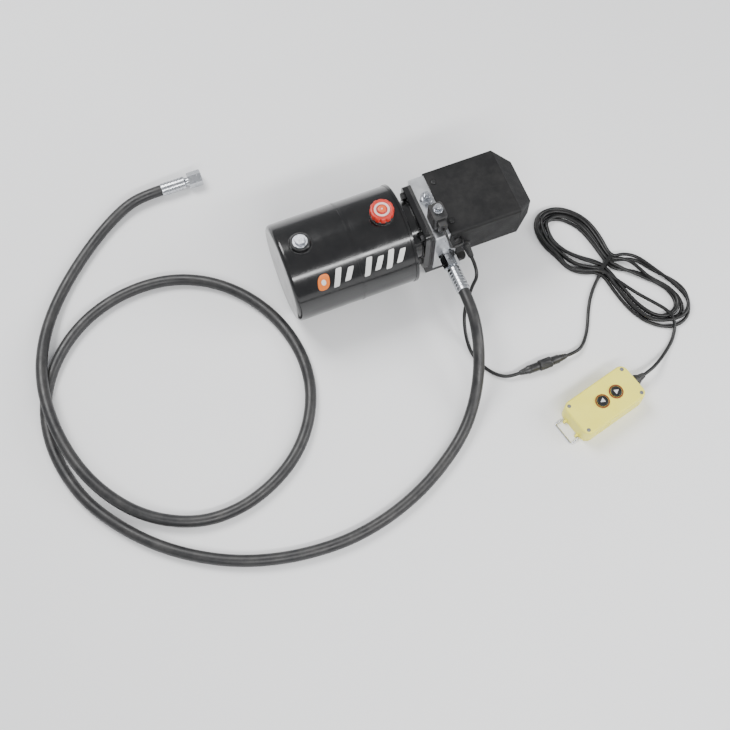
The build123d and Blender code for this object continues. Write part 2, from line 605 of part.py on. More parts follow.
def port_plugs():
    """Socket plugs in the two spare ports on the far side."""
    plugs = []
    for z in (AXIS_Z + 20, AXIS_Z - 20):
        plug = y_rod(PORT_RADIUS - 2, BLOCK_HALF - 12, BLOCK_HALF, VALVE_X, z)
        plug += y_rod(PORT_RADIUS + 1, BLOCK_HALF, BLOCK_HALF + 3, VALVE_X, z)
        socket = Rot(-90, 0, 0) * extrude(RegularPolygon(4, 6, major_radius=False), 8)
        plugs.append(plug - Pos(VALVE_X, BLOCK_HALF - 4, z) * socket)
    return plugs


def relief_valve():
    """Relief cartridge with its adjusting screw and lock nut."""
    body = z_rod(PORT_RADIUS, BLOCK_TOP - VALVE_DEPTH, BLOCK_TOP, VALVE_X, RELIEF_Y)
    body += z_hex(VALVE_HEX, BLOCK_TOP, BLOCK_TOP + 9, VALVE_X, RELIEF_Y)
    body += z_rod(7.5, BLOCK_TOP + 9, BLOCK_TOP + 13, VALVE_X, RELIEF_Y)
    body += z_rod(4.0, BLOCK_TOP + 13, BLOCK_TOP + 24, VALVE_X, RELIEF_Y)
    nut = z_hex(13.0, BLOCK_TOP + 13, BLOCK_TOP + 19, VALVE_X, RELIEF_Y)
    return body, nut - z_rod(4.0, BLOCK_TOP, BLOCK_TOP + 30, VALVE_X, RELIEF_Y)


def release_valve():
    """Lowering-valve cartridge: hexagon, hollow stem and the knurled coil nut."""
    body = z_rod(PORT_RADIUS, BLOCK_TOP - VALVE_DEPTH, BLOCK_TOP, VALVE_X, RELEASE_Y)
    body += z_hex(VALVE_HEX, BLOCK_TOP, BLOCK_TOP + 6, VALVE_X, RELEASE_Y)
    nut_z = BLOCK_TOP + 7 + COIL_Z
    body += z_rod(STEM_RADIUS, BLOCK_TOP + 6, nut_z + 7, VALVE_X, RELEASE_Y)
    pin_bore = z_rod(PIN_RADIUS + RUNNING, BLOCK_TOP + 10, nut_z + 9, VALVE_X, RELEASE_Y)
    nut = z_rod(9.0, nut_z, nut_z + 6, VALVE_X, RELEASE_Y)
    nut = chamfer(nut.edges().filter_by(GeomType.CIRCLE), 0.8)
    for index in range(18):
        angle = math.radians(20 * index)
        nut -= z_rod(0.8, nut_z - 1, nut_z + 8, VALVE_X + 9.3 * math.cos(angle),
                     RELEASE_Y + 9.3 * math.sin(angle))
    nut -= z_rod(STEM_RADIUS, nut_z - 1, nut_z + 8, VALVE_X, RELEASE_Y)
    return body - pin_bore, nut


def release_coil():
    """Moulded coil with its connector hood towards the port side."""
    z0 = BLOCK_TOP + 6.5
    coil = Pos(VALVE_X, RELEASE_Y, z0 + COIL_Z / 2) * Box(COIL_X, COIL_Y, COIL_Z)
    coil = fillet(coil.edges().filter_by(Axis.Z), 6)
    coil = chamfer(coil.edges().group_by(Axis.Z)[-1], 1.2)
    hood_y = RELEASE_Y - COIL_Y / 2
    hood = block(VALVE_X - 8, VALVE_X + 8, hood_y - 11, hood_y + 2, z0 + 8, z0 + COIL_Z - 6)
    coil += fillet(hood.edges().filter_by(Axis.Y), 2)
    return coil - z_rod(STEM_RADIUS + ASSEMBLY, z0 - 1, z0 + COIL_Z + 1, VALVE_X, RELEASE_Y)


def override_pin():
    """Push pin of the manual release, through the coil nut."""
    nut_top = BLOCK_TOP + COIL_Z + 14
    pin = z_rod(PIN_RADIUS, nut_top - 24, nut_top + PIN_TRAVEL + 1.5, VALVE_X, RELEASE_Y)
    knob = z_rod(5.5, nut_top + PIN_TRAVEL + 1, nut_top + PIN_TRAVEL + 6, VALVE_X, RELEASE_Y)
    return pin + chamfer(knob.edges().filter_by(GeomType.CIRCLE), 1.0)


def coil_lead():
    """Two-core wire from the coil's hood, round the block and into the cover."""
    z0 = BLOCK_TOP + 6.5 + COIL_Z / 2
    y0 = RELEASE_Y - COIL_Y / 2 - 11
    x1 = VALVE_X + 33
    path = FilletPolyline((VALVE_X, y0, z0), (VALVE_X, y0 - 20, z0), (VALVE_X + 8, y0 - 24, z0 - 34),
                          (x1, y0 - 20, z0 - 40), (x1, -COVER_HALF, z0 - 40), radius=8)
    start = Plane(origin=path @ 0, z_dir=path % 0)
    return sweep(start * Circle(2.2), path=path)


# ================================================================ pump
def figure_eight(radius, x0, x1):
    """Two overlapping rods, one on each gear's axis."""
    return x_rod(radius, x0, x1) + x_rod(radius, x0, x1, 0, DRIVEN_Z)


def pump_bolt_places():
    """Y and Z of the four pump bolts, in the corners beside the gears."""
    side = PUMP_HALF_WIDTH - PUMP_BOLT_RADIUS - 1.5
    return [(y * side, z) for y in (-1, 1) for z in (AXIS_Z + side, DRIVEN_Z - side)]


def pump_slab(x0, x1):
    """Outer shape of the pump between two faces."""
    slab = block(x0, x1, -PUMP_HALF_WIDTH, PUMP_HALF_WIDTH, AXIS_Z - PUMP_DROP, AXIS_Z + PUMP_HALF_WIDTH)
    slab = fillet(slab.edges().filter_by(Axis.X), 5)
    for y, z in pump_bolt_places():
        slab -= x_rod(PUMP_BOLT_RADIUS + 0.2, x0 - 1, x1 + 1, y, z)
    return slab


def pump_body():
    """Gear housing with the figure-of-eight chamber and the suction port."""
    body = pump_slab(PUMP_X0, SPIGOT_X)
    body -= figure_eight(TIP_RADIUS + RUNNING, PUMP_X0 - 1, SPIGOT_X + 1)
    port_z = AXIS_Z - CENTRE_DISTANCE / 2
    return body - y_rod(PIPE_RADIUS - 1, 0, PUMP_HALF_WIDTH + 1, SUCTION_X, port_z)


def pump_cover():
    """Plate that closes the pump's tank side."""
    return pump_slab(PUMP_X2, PUMP_X0)


def pump_bushes():
    """Bearing blocks at both ends of the gears."""
    bushes = []
    for x0, x1 in ((PUMP_X0, GEAR_X0 - RUNNING), (GEAR_X1 + RUNNING, SPIGOT_X)):
        bush = figure_eight(TIP_RADIUS - ASSEMBLY, x0, x1)
        bushes.append(bush - figure_eight(JOURNAL_RADIUS + RUNNING, x0 - 1, x1 + 1))
    return bushes


def involute(angle):
    """The involute function."""
    return math.tan(angle) - angle


def gear(x0, x1, z, first_tooth):
    """Spur gear along X on (0, z); one tooth points at first_tooth degrees from +Y."""
    base = PITCH_RADIUS * math.cos(PRESSURE_ANGLE)
    half_pitch = (math.pi * GEAR_MODULE / 2 - TOOTH_THINNING) / (2 * PITCH_RADIUS)
    steps = 6
    reach = [base + (TIP_RADIUS - base) * index / (steps - 1) for index in range(steps)]
    half = [half_pitch + involute(PRESSURE_ANGLE) - involute(math.acos(min(1, base / r))) for r in reach]
    edges = []
    for index in range(GEAR_TEETH):
        centre = math.radians(first_tooth + 360 / GEAR_TEETH * index)
        next_centre = centre + 2 * math.pi / GEAR_TEETH

        def at(radius, angle):
            return (radius * math.cos(angle), radius * math.sin(angle))

        rising = [at(r, centre - h) for r, h in zip(reach, half)]
        falling = [at(r, centre + h) for r, h in zip(reversed(reach), reversed(half))]
        edges.append(Line(at(ROOT_RADIUS, centre - half[0]), rising[0]))
        edges.append(Spline(*rising))
        edges.append(ThreePointArc(rising[-1], at(TIP_RADIUS, centre), falling[0]))
        edges.append(Spline(*falling))
        edges.append(Line(falling[-1], at(ROOT_RADIUS, centre + half[0])))
        edges.append(ThreePointArc(at(ROOT_RADIUS, centre + half[0]),
                                   at(ROOT_RADIUS, (centre + next_centre) / 2),
                                   at(ROOT_RADIUS, next_centre - half[0])))
    face = make_face(Wire(edges))
    return facing_motor(x0, z) * extrude(face, x1 - x0)


def drive_gear():
    """Gear on the shaft line, with its long journal to the coupling."""
    shaft = x_rod(JOURNAL_RADIUS, PUMP_X0 + 1, COUPLING_MID - 0.5)
    return gear(GEAR_X0, GEAR_X1, AXIS_Z, -90) + shaft


def driven_gear():
    """Idle gear under the drive gear."""
    return gear(GEAR_X0, GEAR_X1, DRIVEN_Z, 90 + 180 / GEAR_TEETH) + x_rod(
        JOURNAL_RADIUS, PUMP_X0 + 1, SPIGOT_X - 1, 0, DRIVEN_Z)


def pump_bolts():
    """Cap screws through the pump into the spigot."""
    bolts = []
    for y, z in pump_bolt_places():
        bolt = x_rod(PUMP_BOLT_RADIUS, PUMP_X2, SPIGOT_X + 11, y, z)
        bolts.append(bolt + x_rod(PUMP_BOLT_RADIUS + 1.8, PUMP_X2 - 6, PUMP_X2, y, z))
    return bolts


def shaft_seal():
    """Lip seal between the pump and the coupling chamber."""
    ring = x_rod(11.0, CHAMBER_X - 6, CHAMBER_X)
    return ring - x_rod(JOURNAL_RADIUS + RUNNING, CHAMBER_X - 7, CHAMBER_X + 1)


def seals():
    """The shaft's lip seal and the tank neck's O-ring."""
    return shaft_seal(), tank_o_ring()


# ================================================================ motor
def motor_bolt_places():
    """Y and Z of the two long motor bolts, between the magnets."""
    reach = BOLT_CIRCLE / math.sqrt(2)
    return [(reach, AXIS_Z + reach), (-reach, AXIS_Z - reach)]


def drill_motor(body, x0, x1):
    """Cuts the two long bolts' holes."""
    for y, z in motor_bolt_places():
        body -= x_rod(MOTOR_BOLT_RADIUS + ASSEMBLY, x0 - 1, x1 + 1, y, z)
    return body


def shaft_coupling():
    """Sleeve that joins the motor shaft to the pump's journal."""
    sleeve = x_rod(COUPLING_RADIUS, COUPLING_X0, COUPLING_X1)
    sleeve = chamfer(sleeve.edges().filter_by(GeomType.CIRCLE), 1.0)
    return sleeve - x_rod(SHAFT_RADIUS, COUPLING_X0 - 1, COUPLING_X1 + 1)


def motor_shaft():
    """Steel shaft from the coupling to the rear bearing."""
    return x_rod(SHAFT_RADIUS, COUPLING_MID + 0.5, YOKE_X1 + BEARING_WIDTH)


def armature_core():
    """Laminated core with open slots."""
    core = x_rod(CORE_RADIUS, CORE_X0, CORE_X1) - x_rod(SHAFT_RADIUS, CORE_X0 - 1, CORE_X1 + 1)
    for angle in slot_angles():
        y, z = math.cos(angle), math.sin(angle)
        reach = CORE_RADIUS - 6.5
        core -= x_rod(3.5, CORE_X0 - 1, CORE_X1 + 1, reach * y, AXIS_Z + reach * z)
        gap = Box(CORE_LENGTH + 2, 8, 2.4)
        gap = Rot(math.degrees(angle), 0, 0) * (Pos(0, CORE_RADIUS - 2, 0) * gap)
        core -= Pos((CORE_X0 + CORE_X1) / 2, 0, AXIS_Z) * gap
    return core


def slot_angles():
    """Angle of each armature slot, in radians."""
    return [math.radians(360 / CORE_SLOTS * (index + 0.5)) for index in range(CORE_SLOTS)]


def armature_windings():
    """Copper end turns at both ends, joined by the bars in the slots."""
    copper = None
    for x0 in (CORE_X0 - END_TURN, CORE_X1):
        turns = x_rod(CORE_RADIUS - 2, x0, x0 + END_TURN)
        turns = fillet(turns.edges().filter_by(GeomType.CIRCLE), 3)
        turns -= x_rod(SHAFT_RADIUS + 4, x0 - 1, x0 + END_TURN + 1)
        copper = turns if copper is None else copper + turns
    reach = CORE_RADIUS - 6.5
    for angle in slot_angles():
        y, z = reach * math.cos(angle), AXIS_Z + reach * math.sin(angle)
        copper += x_rod(3.2, CORE_X0 - 3, CORE_X1 + 3, y, z)
    return copper


def commutator():
    """Segmented copper drum."""
    drum = x_rod(COMMUTATOR_RADIUS, COMMUTATOR_X, COMMUTATOR_X + COMMUTATOR_LENGTH)
    for angle in slot_angles():
        slit = Rot(math.degrees(angle), 0, 0) * (Pos(0, COMMUTATOR_RADIUS, 0) * Box(40, 2.4, 0.8))
        drum -= Pos(COMMUTATOR_X, 0, AXIS_Z) * slit
    return drum - x_rod(SHAFT_RADIUS, COMMUTATOR_X - 1, COMMUTATOR_X + COMMUTATOR_LENGTH + 1)


def motor_bearings():
    """Ball bearings in the drive plate and the rear cap."""
    rings = []
    for x0 in (YOKE_X0 - BEARING_WIDTH - 1, YOKE_X1 + 1):
        ring = x_rod(BEARING_RADIUS, x0, x0 + BEARING_WIDTH)
        rings.append(ring - x_rod(SHAFT_RADIUS + RUNNING, x0 - 1, x0 + BEARING_WIDTH + 1))
    return rings


def motor_drive_plate():
    """End plate between the yoke and the manifold."""
    plate = x_rod(MOTOR_RADIUS, MOTOR_X0, YOKE_X0) - x_rod(SHAFT_RADIUS + 3, MOTOR_X0 - 1, YOKE_X0 + 1)
    plate -= x_rod(BEARING_RADIUS, YOKE_X0 - BEARING_WIDTH - 1, YOKE_X0 + 1)
    return drill_motor(plate, MOTOR_X0, YOKE_X0)


def motor_yoke():
    """Steel tube around the magnets."""
    return x_rod(MOTOR_RADIUS, YOKE_X0, YOKE_X1) - x_rod(YOKE_INNER, YOKE_X0 - 1, YOKE_X1 + 1)


def motor_magnets():
    """Four ferrite arcs inside the yoke."""
    x0 = CORE_X0 - 4
    x1 = CORE_X1 + 4
    outer = YOKE_INNER - ASSEMBLY
    ring = x_rod(outer, x0, x1) - x_rod(outer - MAGNET_THICK, x0 - 1, x1 + 1)
    magnets = []
    for index in range(4):
        spread = math.tan(math.radians(33)) * 50
        wedge = Polyline((0, 0), (50, -spread), (50, spread), close=True)
        wedge = extrude(Plane.YZ.offset(x0 - 1) * make_face(wedge), x1 - x0 + 2)
        wedge = Pos(0, 0, AXIS_Z) * Rot(90 * index, 0, 0) * wedge
        magnets.append(ring & wedge)
    return magnets


def motor_rear_cap():
    """Rear end cap with the bearing seat."""
    cap = x_rod(MOTOR_RADIUS, YOKE_X1, MOTOR_X1)
    cap = fillet(cap.edges().group_by(Axis.X)[-1], 3)
    cap -= x_rod(BEARING_RADIUS, YOKE_X1 - 1, YOKE_X1 + BEARING_WIDTH + 1)
    return drill_motor(cap, YOKE_X1, MOTOR_X1)


def brush_set():
    """Brush plate with four guides, and the four carbon brushes in them."""
    middle = COMMUTATOR_X + COMMUTATOR_LENGTH / 2
    plate_x = COMMUTATOR_X + COMMUTATOR_LENGTH + 1
    plate = x_rod(YOKE_INNER - ASSEMBLY, plate_x, plate_x + 2)
    plate -= x_rod(COMMUTATOR_RADIUS + 3, plate_x - 1, plate_x + 3)
    plate = drill_motor(plate, plate_x, plate_x + 2)
    inner = COMMUTATOR_RADIUS + 2.0
    outer = YOKE_INNER - 3.0
    brushes = []
    for index in range(4):
        turn = Pos(0, 0, AXIS_Z) * Rot(90 * index, 0, 0)
        guide = block(middle - 4.5, plate_x, inner + 2, outer, -6, 6)
        guide -= block(middle - 3, middle + 3, inner, outer + 1, -4, 4)
        plate += turn * guide
        carbon = block(middle - 2.9, middle + 2.9, COMMUTATOR_RADIUS - 1, outer - 3, -3.9, 3.9)
        carbon -= x_rod(COMMUTATOR_RADIUS + ASSEMBLY, middle - 9, middle + 9, 0, 0)
        brushes.append(turn * carbon)
    return [plate] + brushes


def motor_bolts():
    """Long bolts from the motor's rear cap to the manifold."""
    bolts = []
    for y, z in motor_bolt_places():
        bolt = x_rod(MOTOR_BOLT_RADIUS, MOTOR_X0 - 11, MOTOR_X1, y, z)
        bolts.append(bolt + x_hex(MOTOR_BOLT_AF, MOTOR_X1, MOTOR_X1 + MOTOR_BOLT_HEAD, y, z))
    return bolts


def long_bolts():
    """The four pump screws and the two motor bolts."""
    return pump_bolts() + motor_bolts()


def start_relay():
    """Start relay: round can on a saddle, with two main studs and two small tags."""
    can = x_rod(RELAY_RADIUS, RELAY_X0, RELAY_X1, RELAY_Y, RELAY_Z)
    can = chamfer(can.edges().filter_by(GeomType.CIRCLE), 1.5)
    saddle = block(RELAY_X0 + 12, RELAY_X0 + 30, MOTOR_RADIUS + ASSEMBLY, RELAY_REACH, -7, 7)
    saddle = Pos(0, 0, AXIS_Z) * Rot(math.degrees(RELAY_ANGLE), 0, 0) * saddle
    saddle -= x_rod(MOTOR_RADIUS + ASSEMBLY, RELAY_X0, RELAY_X1)
    can += saddle
    can += x_rod(STUD_RADIUS, RELAY_X1, STRAP_X + 9, RELAY_Y - 8.5, RELAY_Z)
    can += x_rod(STUD_RADIUS, RELAY_X1, RELAY_X1 + 13, RELAY_Y + 8.5, RELAY_Z)
    for z in (RELAY_Z - 9, RELAY_Z + 9):
        can += x_rod(1.8, RELAY_X1, RELAY_X1 + 8, RELAY_Y, z)
    return can


def power_links():
    """Copper strap from the relay to the motor, the motor's terminal and the nuts."""
    y0, z0 = RELAY_Y - 8.5, RELAY_Z
    y1, z1 = 10.0, AXIS_Z + BOLT_CIRCLE
    hull = make_hull([*(Pos(y0, z0) * Circle(STRAP_RADIUS)).edges(),
                      *(Pos(y1, z1) * Circle(STRAP_RADIUS)).edges()])
    strap = extrude(Plane.YZ.offset(STRAP_X) * hull, STRAP_THICK)
    strap -= x_rod(STUD_RADIUS, STRAP_X - 1, STRAP_X + 9, y0, z0)
    strap -= x_rod(STUD_RADIUS, STRAP_X - 1, STRAP_X + 9, y1, z1)
    stud = x_rod(STUD_RADIUS, MOTOR_X1, STRAP_X + 9, y1, z1)
    pieces = [strap, stud]
    for x, y, z in ((STRAP_X + STRAP_THICK, y0, z0), (STRAP_X + STRAP_THICK, y1, z1),
                    (RELAY_X1 + 4, RELAY_Y + 8.5, RELAY_Z)):
        pieces.append(x_hex(13.0, x, x + 5.5, y, z) - x_rod(STUD_RADIUS, x - 1, x + 7, y, z))
    return pieces


# ================================================================ cover
def cover_form(inset):
    """Solid form of the cover: a prism with a tapered far end, drawn in by inset."""
    prism = extrude(section_at(MOUTH_X, inset), MOTOR_X1 - MOUTH_X)
    far = section_at(COVER_X1 - inset, inset + COVER_TAPER_IN)
    return prism + loft([section_at(MOTOR_X1, inset), far], ruled=True)


def cover_screw_places():
    """X, Y, Z and side of each cover screw; side 0 is the top, else the sign of Y."""
    x = (MOUTH_X + MOTOR_X0) / 2
    return [(x, -COVER_HALF, AXIS_Z + 40, -1), (x, COVER_HALF, AXIS_Z + 40, 1),
            (x, -42.0, AXIS_Z + COVER_TOP, 0), (x, 42.0, AXIS_Z + COVER_TOP, 0)]


def motor_cover():
    """Moulded weather cover over motor and relay, notched for the pressure port."""
    cover = cover_form(0)
    rim = [edge for edge in cover.edges() if edge.center().X > COVER_X1 - 0.1]
    cover = fillet(rim, CORNER_MIN)
    cover -= cover_form(COVER_WALL)
    corner = FITTING_AF / math.sqrt(3)
    cover -= block(MOUTH_X - 1, PORT_X + corner + 4, -COVER_HALF - 1, -COVER_HALF + 12,
                   PORT_Z - corner - 4, PORT_Z + corner + 4)
    cover -= y_rod(6.0, -COVER_HALF - 1, -COVER_HALF + 5, LEAD_X, LEAD_Z)
    for x, y, z, side in cover_screw_places():
        if side == 0:
            cover -= z_rod(2.6, z - 4, z + 1, x, y)
        else:
            cover -= y_rod(2.6, y - side * 4, y + side, x, z)
    return cover


def cover_screws():
    """Button-head screws that hold the cover on the manifold."""
    screws = []
    for x, y, z, side in cover_screw_places():
        if side == 0:
            screw = z_rod(2.0, z - 13, z, x, y)
            head = z_rod(4.6, z, z + 2.6, x, y)
            head = fillet(head.edges().group_by(Axis.Z)[-1], 1.8)
        else:
            screw = y_rod(2.0, y - side * 13, y, x, z)
            head = y_rod(4.6, y, y + side * 2.6, x, z)
            head = fillet(head.edges().group_by(Axis.Y)[-1 if side > 0 else 0], 1.8)
        screws.append(screw + head)
    return screws


# ================================================================ pressure line
def port_adaptor():
    """Straight adaptor in the pressure port."""
    face = -BLOCK_HALF
    body = y_rod(PORT_RADIUS, face + 17, face, PORT_X, PORT_Z)
    body += y_hex(FITTING_AF, face, face - 9, PORT_X, PORT_Z)
    return body + y_rod(STEM_BORE, face - 9, face - 19, PORT_X, PORT_Z)


def pressure_nut():
    """Union nut that clamps the hose to the adaptor."""
    y0 = -BLOCK_HALF - 10
    nut = y_hex(FITTING_AF, y0, y0 - NUT_LENGTH, PORT_X, PORT_Z)
    return nut - y_rod(STEM_BORE + RUNNING, y0 + 1, y0 - NUT_LENGTH - 1, PORT_X, PORT_Z)


def ferrule():
    """Crimped ferrule and its stem along +X from the origin; the hose butts at x = 0."""
    points = [(0, 0), (0, FERRULE_RADIUS - 1), (1, FERRULE_RADIUS)]
    for index in range(6):
        x = 6 + 6.4 * index
        points += [(x, FERRULE_RADIUS), (x + 0.8, FERRULE_RADIUS - 0.9),
                   (x + 2.0, FERRULE_RADIUS - 0.9), (x + 2.8, FERRULE_RADIUS)]
    points += [(FERRULE_LENGTH - 4, FERRULE_RADIUS), (FERRULE_LENGTH - 1, FERRULE_RADIUS - 2.5),
               (FERRULE_LENGTH - 1, STEM_BORE), (FERRULE_LENGTH + 12, STEM_BORE),
               (FERRULE_LENGTH + 12, 6.5), (FERRULE_LENGTH + 13.5, 5.5), (FERRULE_LENGTH + 13.5, 0)]
    return turned(points)


def hose_ferrules():
    """The two crimped ends of the hose."""
    near = Pos(PORT_X, FERRULE_END_Y, PORT_Z) * Rot(0, 0, 90) * ferrule()
    far = Pos(*FAR_END) * ferrule()
    return near, far


def far_nut():
    """Swivel nut on the far stem, with the open thread for the next line."""
    x0 = FAR_END[0] + FERRULE_LENGTH + 4
    y, z = FAR_END[1], FAR_END[2]
    x1 = x0 + FAR_NUT_LENGTH
    nut = x_hex(FITTING_AF, x0, x1, y, z)
    nut -= x_rod(STEM_BORE + RUNNING, x0 - 1, x1 - FAR_THREAD_LENGTH + 1, y, z)
    return nut - x_rod(THREAD_RADIUS, x1 - FAR_THREAD_LENGTH, x1 + 1, y, z)


def hose():
    """Pressure hose between its two ferrules."""
    return cord("hose", HOSE_ROUTE, HOSE_RADIUS)


# ================================================================ control lead
def lead_gland():
    """Strain relief in the cover's side: inner nut, flange and tapered sleeve."""
    wall = COVER_HALF
    sleeve = turned([(wall - COVER_WALL - 4, LEAD_RADIUS), (wall - COVER_WALL - 4, 8),
                     (wall - COVER_WALL, 8), (wall - COVER_WALL, 5.8), (wall, 5.8), (wall, 9),
                     (wall + 3, 9), (wall + 4, 6.5), (wall + GLAND_LENGTH, LEAD_RADIUS + 1.2),
                     (wall + GLAND_LENGTH, 0), (wall + GLAND_LENGTH - 6, 0),
                     (wall + GLAND_LENGTH - 6, LEAD_RADIUS)])
    return Pos(LEAD_X, 0, LEAD_Z) * Rot(0, 0, -90) * sleeve


def control_lead():
    """Pump-side lead, from its gland to the connector."""
    return cord("control_lead", LEAD_ROUTE, LEAD_RADIUS)


def connector_half(x0, x1, ring):
    """Half of the in-line connector: tapered sleeve, body and, on one half, the ring."""
    direction = 1 if x1 > x0 else -1
    points = [(x0, 0), (x0, LEAD_RADIUS + 1.2), (x0 + direction * 14, 6.5),
              (x0 + direction * 16, 8.0), (x1 - direction * ring, 8.0)]
    if ring:
        points += [(x1 - direction * ring, RING_RADIUS - 1), (x1 - direction * (ring - 1), RING_RADIUS),
                   (x1 - direction, RING_RADIUS), (x1, RING_RADIUS - 1)]
    points += [(x1, 0)]
    return Pos(0, CONNECTOR_Y, CONNECTOR_Z) * turned(points)


def lead_socket():
    """Connector half on the pump's lead."""
    return connector_half(SOCKET_X0, CONNECTOR_X - 8, 0)


def pendant_plug():
    """Connector half on the pendant's lead, with the locking ring."""
    return connector_half(PLUG_X1, CONNECTOR_X - 8, 24)


def cable_in():
    """Pendant lead from the connector to the hank."""
    return cord("cable_in", CABLE_IN_ROUTE, LEAD_RADIUS)


def cable_hank():
    """The tied figure-of-eight hank as one closed solid with two open lobes."""
    solid = None
    for outer, inner in ((LEFT_OUTER, LEFT_INNER), (RIGHT_OUTER, RIGHT_INNER)):
        face = make_face(Spline(*outer, periodic=True)) - make_face(Spline(*inner, periodic=True))
        lobe = extrude(face, HANK_HEIGHT)
        solid = lobe if solid is None else solid + lobe
    return Pos(0, 0, LEAD_CLEAR) * solid


def hank_tie():
    """Tie round the hank's crossing."""
    band = Box(9, 40, HANK_HEIGHT + 3) - Box(11, 36, HANK_HEIGHT - 1)
    band = fillet(band.edges().filter_by(Axis.X).group_by(Axis.Z)[-1], 3)
    height = (HANK_HEIGHT + 3) / 2
    return Pos(CROSSING[0], CROSSING[1], height) * Rot(0, 0, -57) * band


def cable_out():
    """Pendant lead from the hank to the pendant's gland."""
    along = CASE_LENGTH / 2 + CASE_GLAND
    middle = CASE_HEIGHT / 2
    route = CABLE_OUT_MIDDLE + [pendant_point(along + 18, 0, middle), pendant_point(along, 0, middle)]
    return cord("cable_out", route, LEAD_RADIUS)


# ================================================================ pendant
def case_form(inset, z0, z1):
    """Outer form of the pendant's case, drawn in by inset, between two heights."""
    outline = RectangleRounded(CASE_LENGTH - 2 * inset, CASE_WIDTH - 2 * inset, CASE_CORNER - inset)
    return Pos(0, 0, z0) * extrude(outline, z1 - z0)


def case_corners():
    """Places of the four case screws in the pendant's own frame."""
    u = CASE_LENGTH / 2 - 9
    v = CASE_WIDTH / 2 - 9
    return [(x, y) for x in (-u, u) for y in (-v, v)]


def pendant_base():
    """Lower half of the case, with screw posts and the bail's lugs."""
    base = case_form(0, 0, CASE_SPLIT)
    base = chamfer(base.edges().group_by(Axis.Z)[0], 1.5)
    base -= case_form(CASE_WALL, CASE_TOP, CASE_SPLIT + 1)
    for u, v in case_corners():
        base += z_rod(4.5, CASE_TOP - 1, CASE_SPLIT, u, v) - z_rod(1.5, 6, CASE_SPLIT + 1, u, v)
    base -= x_rod(7.0, CASE_LENGTH / 2 - 6, CASE_LENGTH / 2 + 1, 0, CASE_HEIGHT / 2)
    end = -CASE_LENGTH / 2
    for v in (-LUG_HALF, LUG_HALF):
        lug = block(end - 5.5, end + 1, v - 2, v + 2, 0.2, 2 * BAIL_Z)
        base += lug - y_rod(BAIL_RADIUS + ASSEMBLY, v - 3, v + 3, end - 3, BAIL_Z)
    return on_pendant(base)


def pendant_top():
    """Upper half of the case, with a raised collar round each button."""
    top = case_form(0, CASE_SPLIT, CASE_HEIGHT)
    top = fillet(top.edges().group_by(Axis.Z)[-1], 4)
    top -= case_form(CASE_WALL, CASE_SPLIT - 1, CASE_HEIGHT - CASE_TOP)
    for u, v in case_corners():
        top += z_rod(4.5, CASE_SPLIT, CASE_HEIGHT - CASE_TOP + 1, u, v)
        top -= z_rod(1.8, CASE_SPLIT - 1, CASE_HEIGHT + 1, u, v)
        top -= z_rod(3.6, CASE_HEIGHT - 2.2, CASE_HEIGHT + 1, u, v)
    for u in BUTTON_U:
        collar = z_rod(14.0, CASE_HEIGHT - 1, CASE_HEIGHT + 2.0, u, 0)
        top += chamfer(collar.edges().group_by(Axis.Z)[-1], 1.0)
    for u in BUTTON_U:
        top -= z_rod(BUTTON_RADIUS + SLIDING, CASE_HEIGHT - 8, CASE_HEIGHT + 4, u, 0)
    top -= x_rod(7.0, CASE_LENGTH / 2 - 6, CASE_LENGTH / 2 + 1, 0, CASE_HEIGHT / 2)
    return on_pendant(top)


def button(u):
    """Domed push button with its retaining collar and stem."""
    roof = CASE_HEIGHT - CASE_TOP
    cap = z_rod(BUTTON_RADIUS, roof - 1, CASE_HEIGHT + 4.5, u, 0)
    cap = fillet(cap.edges().group_by(Axis.Z)[-1], 1.6)
    cap += z_rod(BUTTON_RADIUS + 1.8, roof - 3.5, roof - 0.5, u, 0)
    return on_pendant(cap + z_rod(3.0, roof - 5, roof - 3, u, 0))


def up_button():
    """Raise button, next to the gland."""
    return button(BUTTON_U[1])


def down_button():
    """Lower button."""
    return button(BUTTON_U[0])


def pendant_switches():
    """Two snap switches on the floor of the case, under the buttons."""
    switches = []
    for u in BUTTON_U:
        body = block(u - 8, u + 8, -10, 10, CASE_TOP, CASE_HEIGHT - 15)
        plunger = z_rod(2.0, CASE_HEIGHT - 16, CASE_HEIGHT - CASE_TOP - 5.2 - BUTTON_TRAVEL, u, 0)
        switches.append(on_pendant(body + plunger))
    return switches


def pendant_gland():
    """Cable gland at the pendant's end: nut, locknut inside and tapered sleeve."""
    end = CASE_LENGTH / 2
    middle = CASE_HEIGHT / 2
    gland = turned([(end - 6, LEAD_RADIUS), (end - 6, 9), (end - CASE_WALL, 9), (end - CASE_WALL, 6.8),
                    (end, 6.8), (end, 10.5), (end + 2, 10.5), (end + 12, 8.5), (end + 14, 6.5),
                    (end + CASE_GLAND, LEAD_RADIUS + 1.2), (end + CASE_GLAND, 0),
                    (end + CASE_GLAND - 6, 0), (end + CASE_GLAND - 6, LEAD_RADIUS)])
    nut = x_hex(19.0, end + 2, end + 9, 0, 0) - x_rod(LEAD_RADIUS, end, end + 12, 0, 0)
    return on_pendant(Pos(0, 0, middle) * (gland + nut))


def pendant_bail():
    """Wire bail at the blind end, its free bar resting on the floor."""
    end = -CASE_LENGTH / 2 - 3
    inner = LUG_HALF - 3
    path = FilletPolyline((0, -inner, 0), (0, -BAIL_HALF, 0), (-BAIL_REACH, -BAIL_HALF, 0),
                          (-BAIL_REACH, BAIL_HALF, 0), (0, BAIL_HALF, 0), (0, inner, 0), radius=3)
    start = Plane(origin=path @ 0, z_dir=path % 0)
    wire = sweep(start * Circle(BAIL_RADIUS), path=path)
    drop = math.degrees(math.asin((BAIL_Z - BAIL_RADIUS - LEAD_CLEAR) / BAIL_REACH))
    return on_pendant(Pos(end, 0, BAIL_Z) * Rot(0, -drop, 0) * wire)


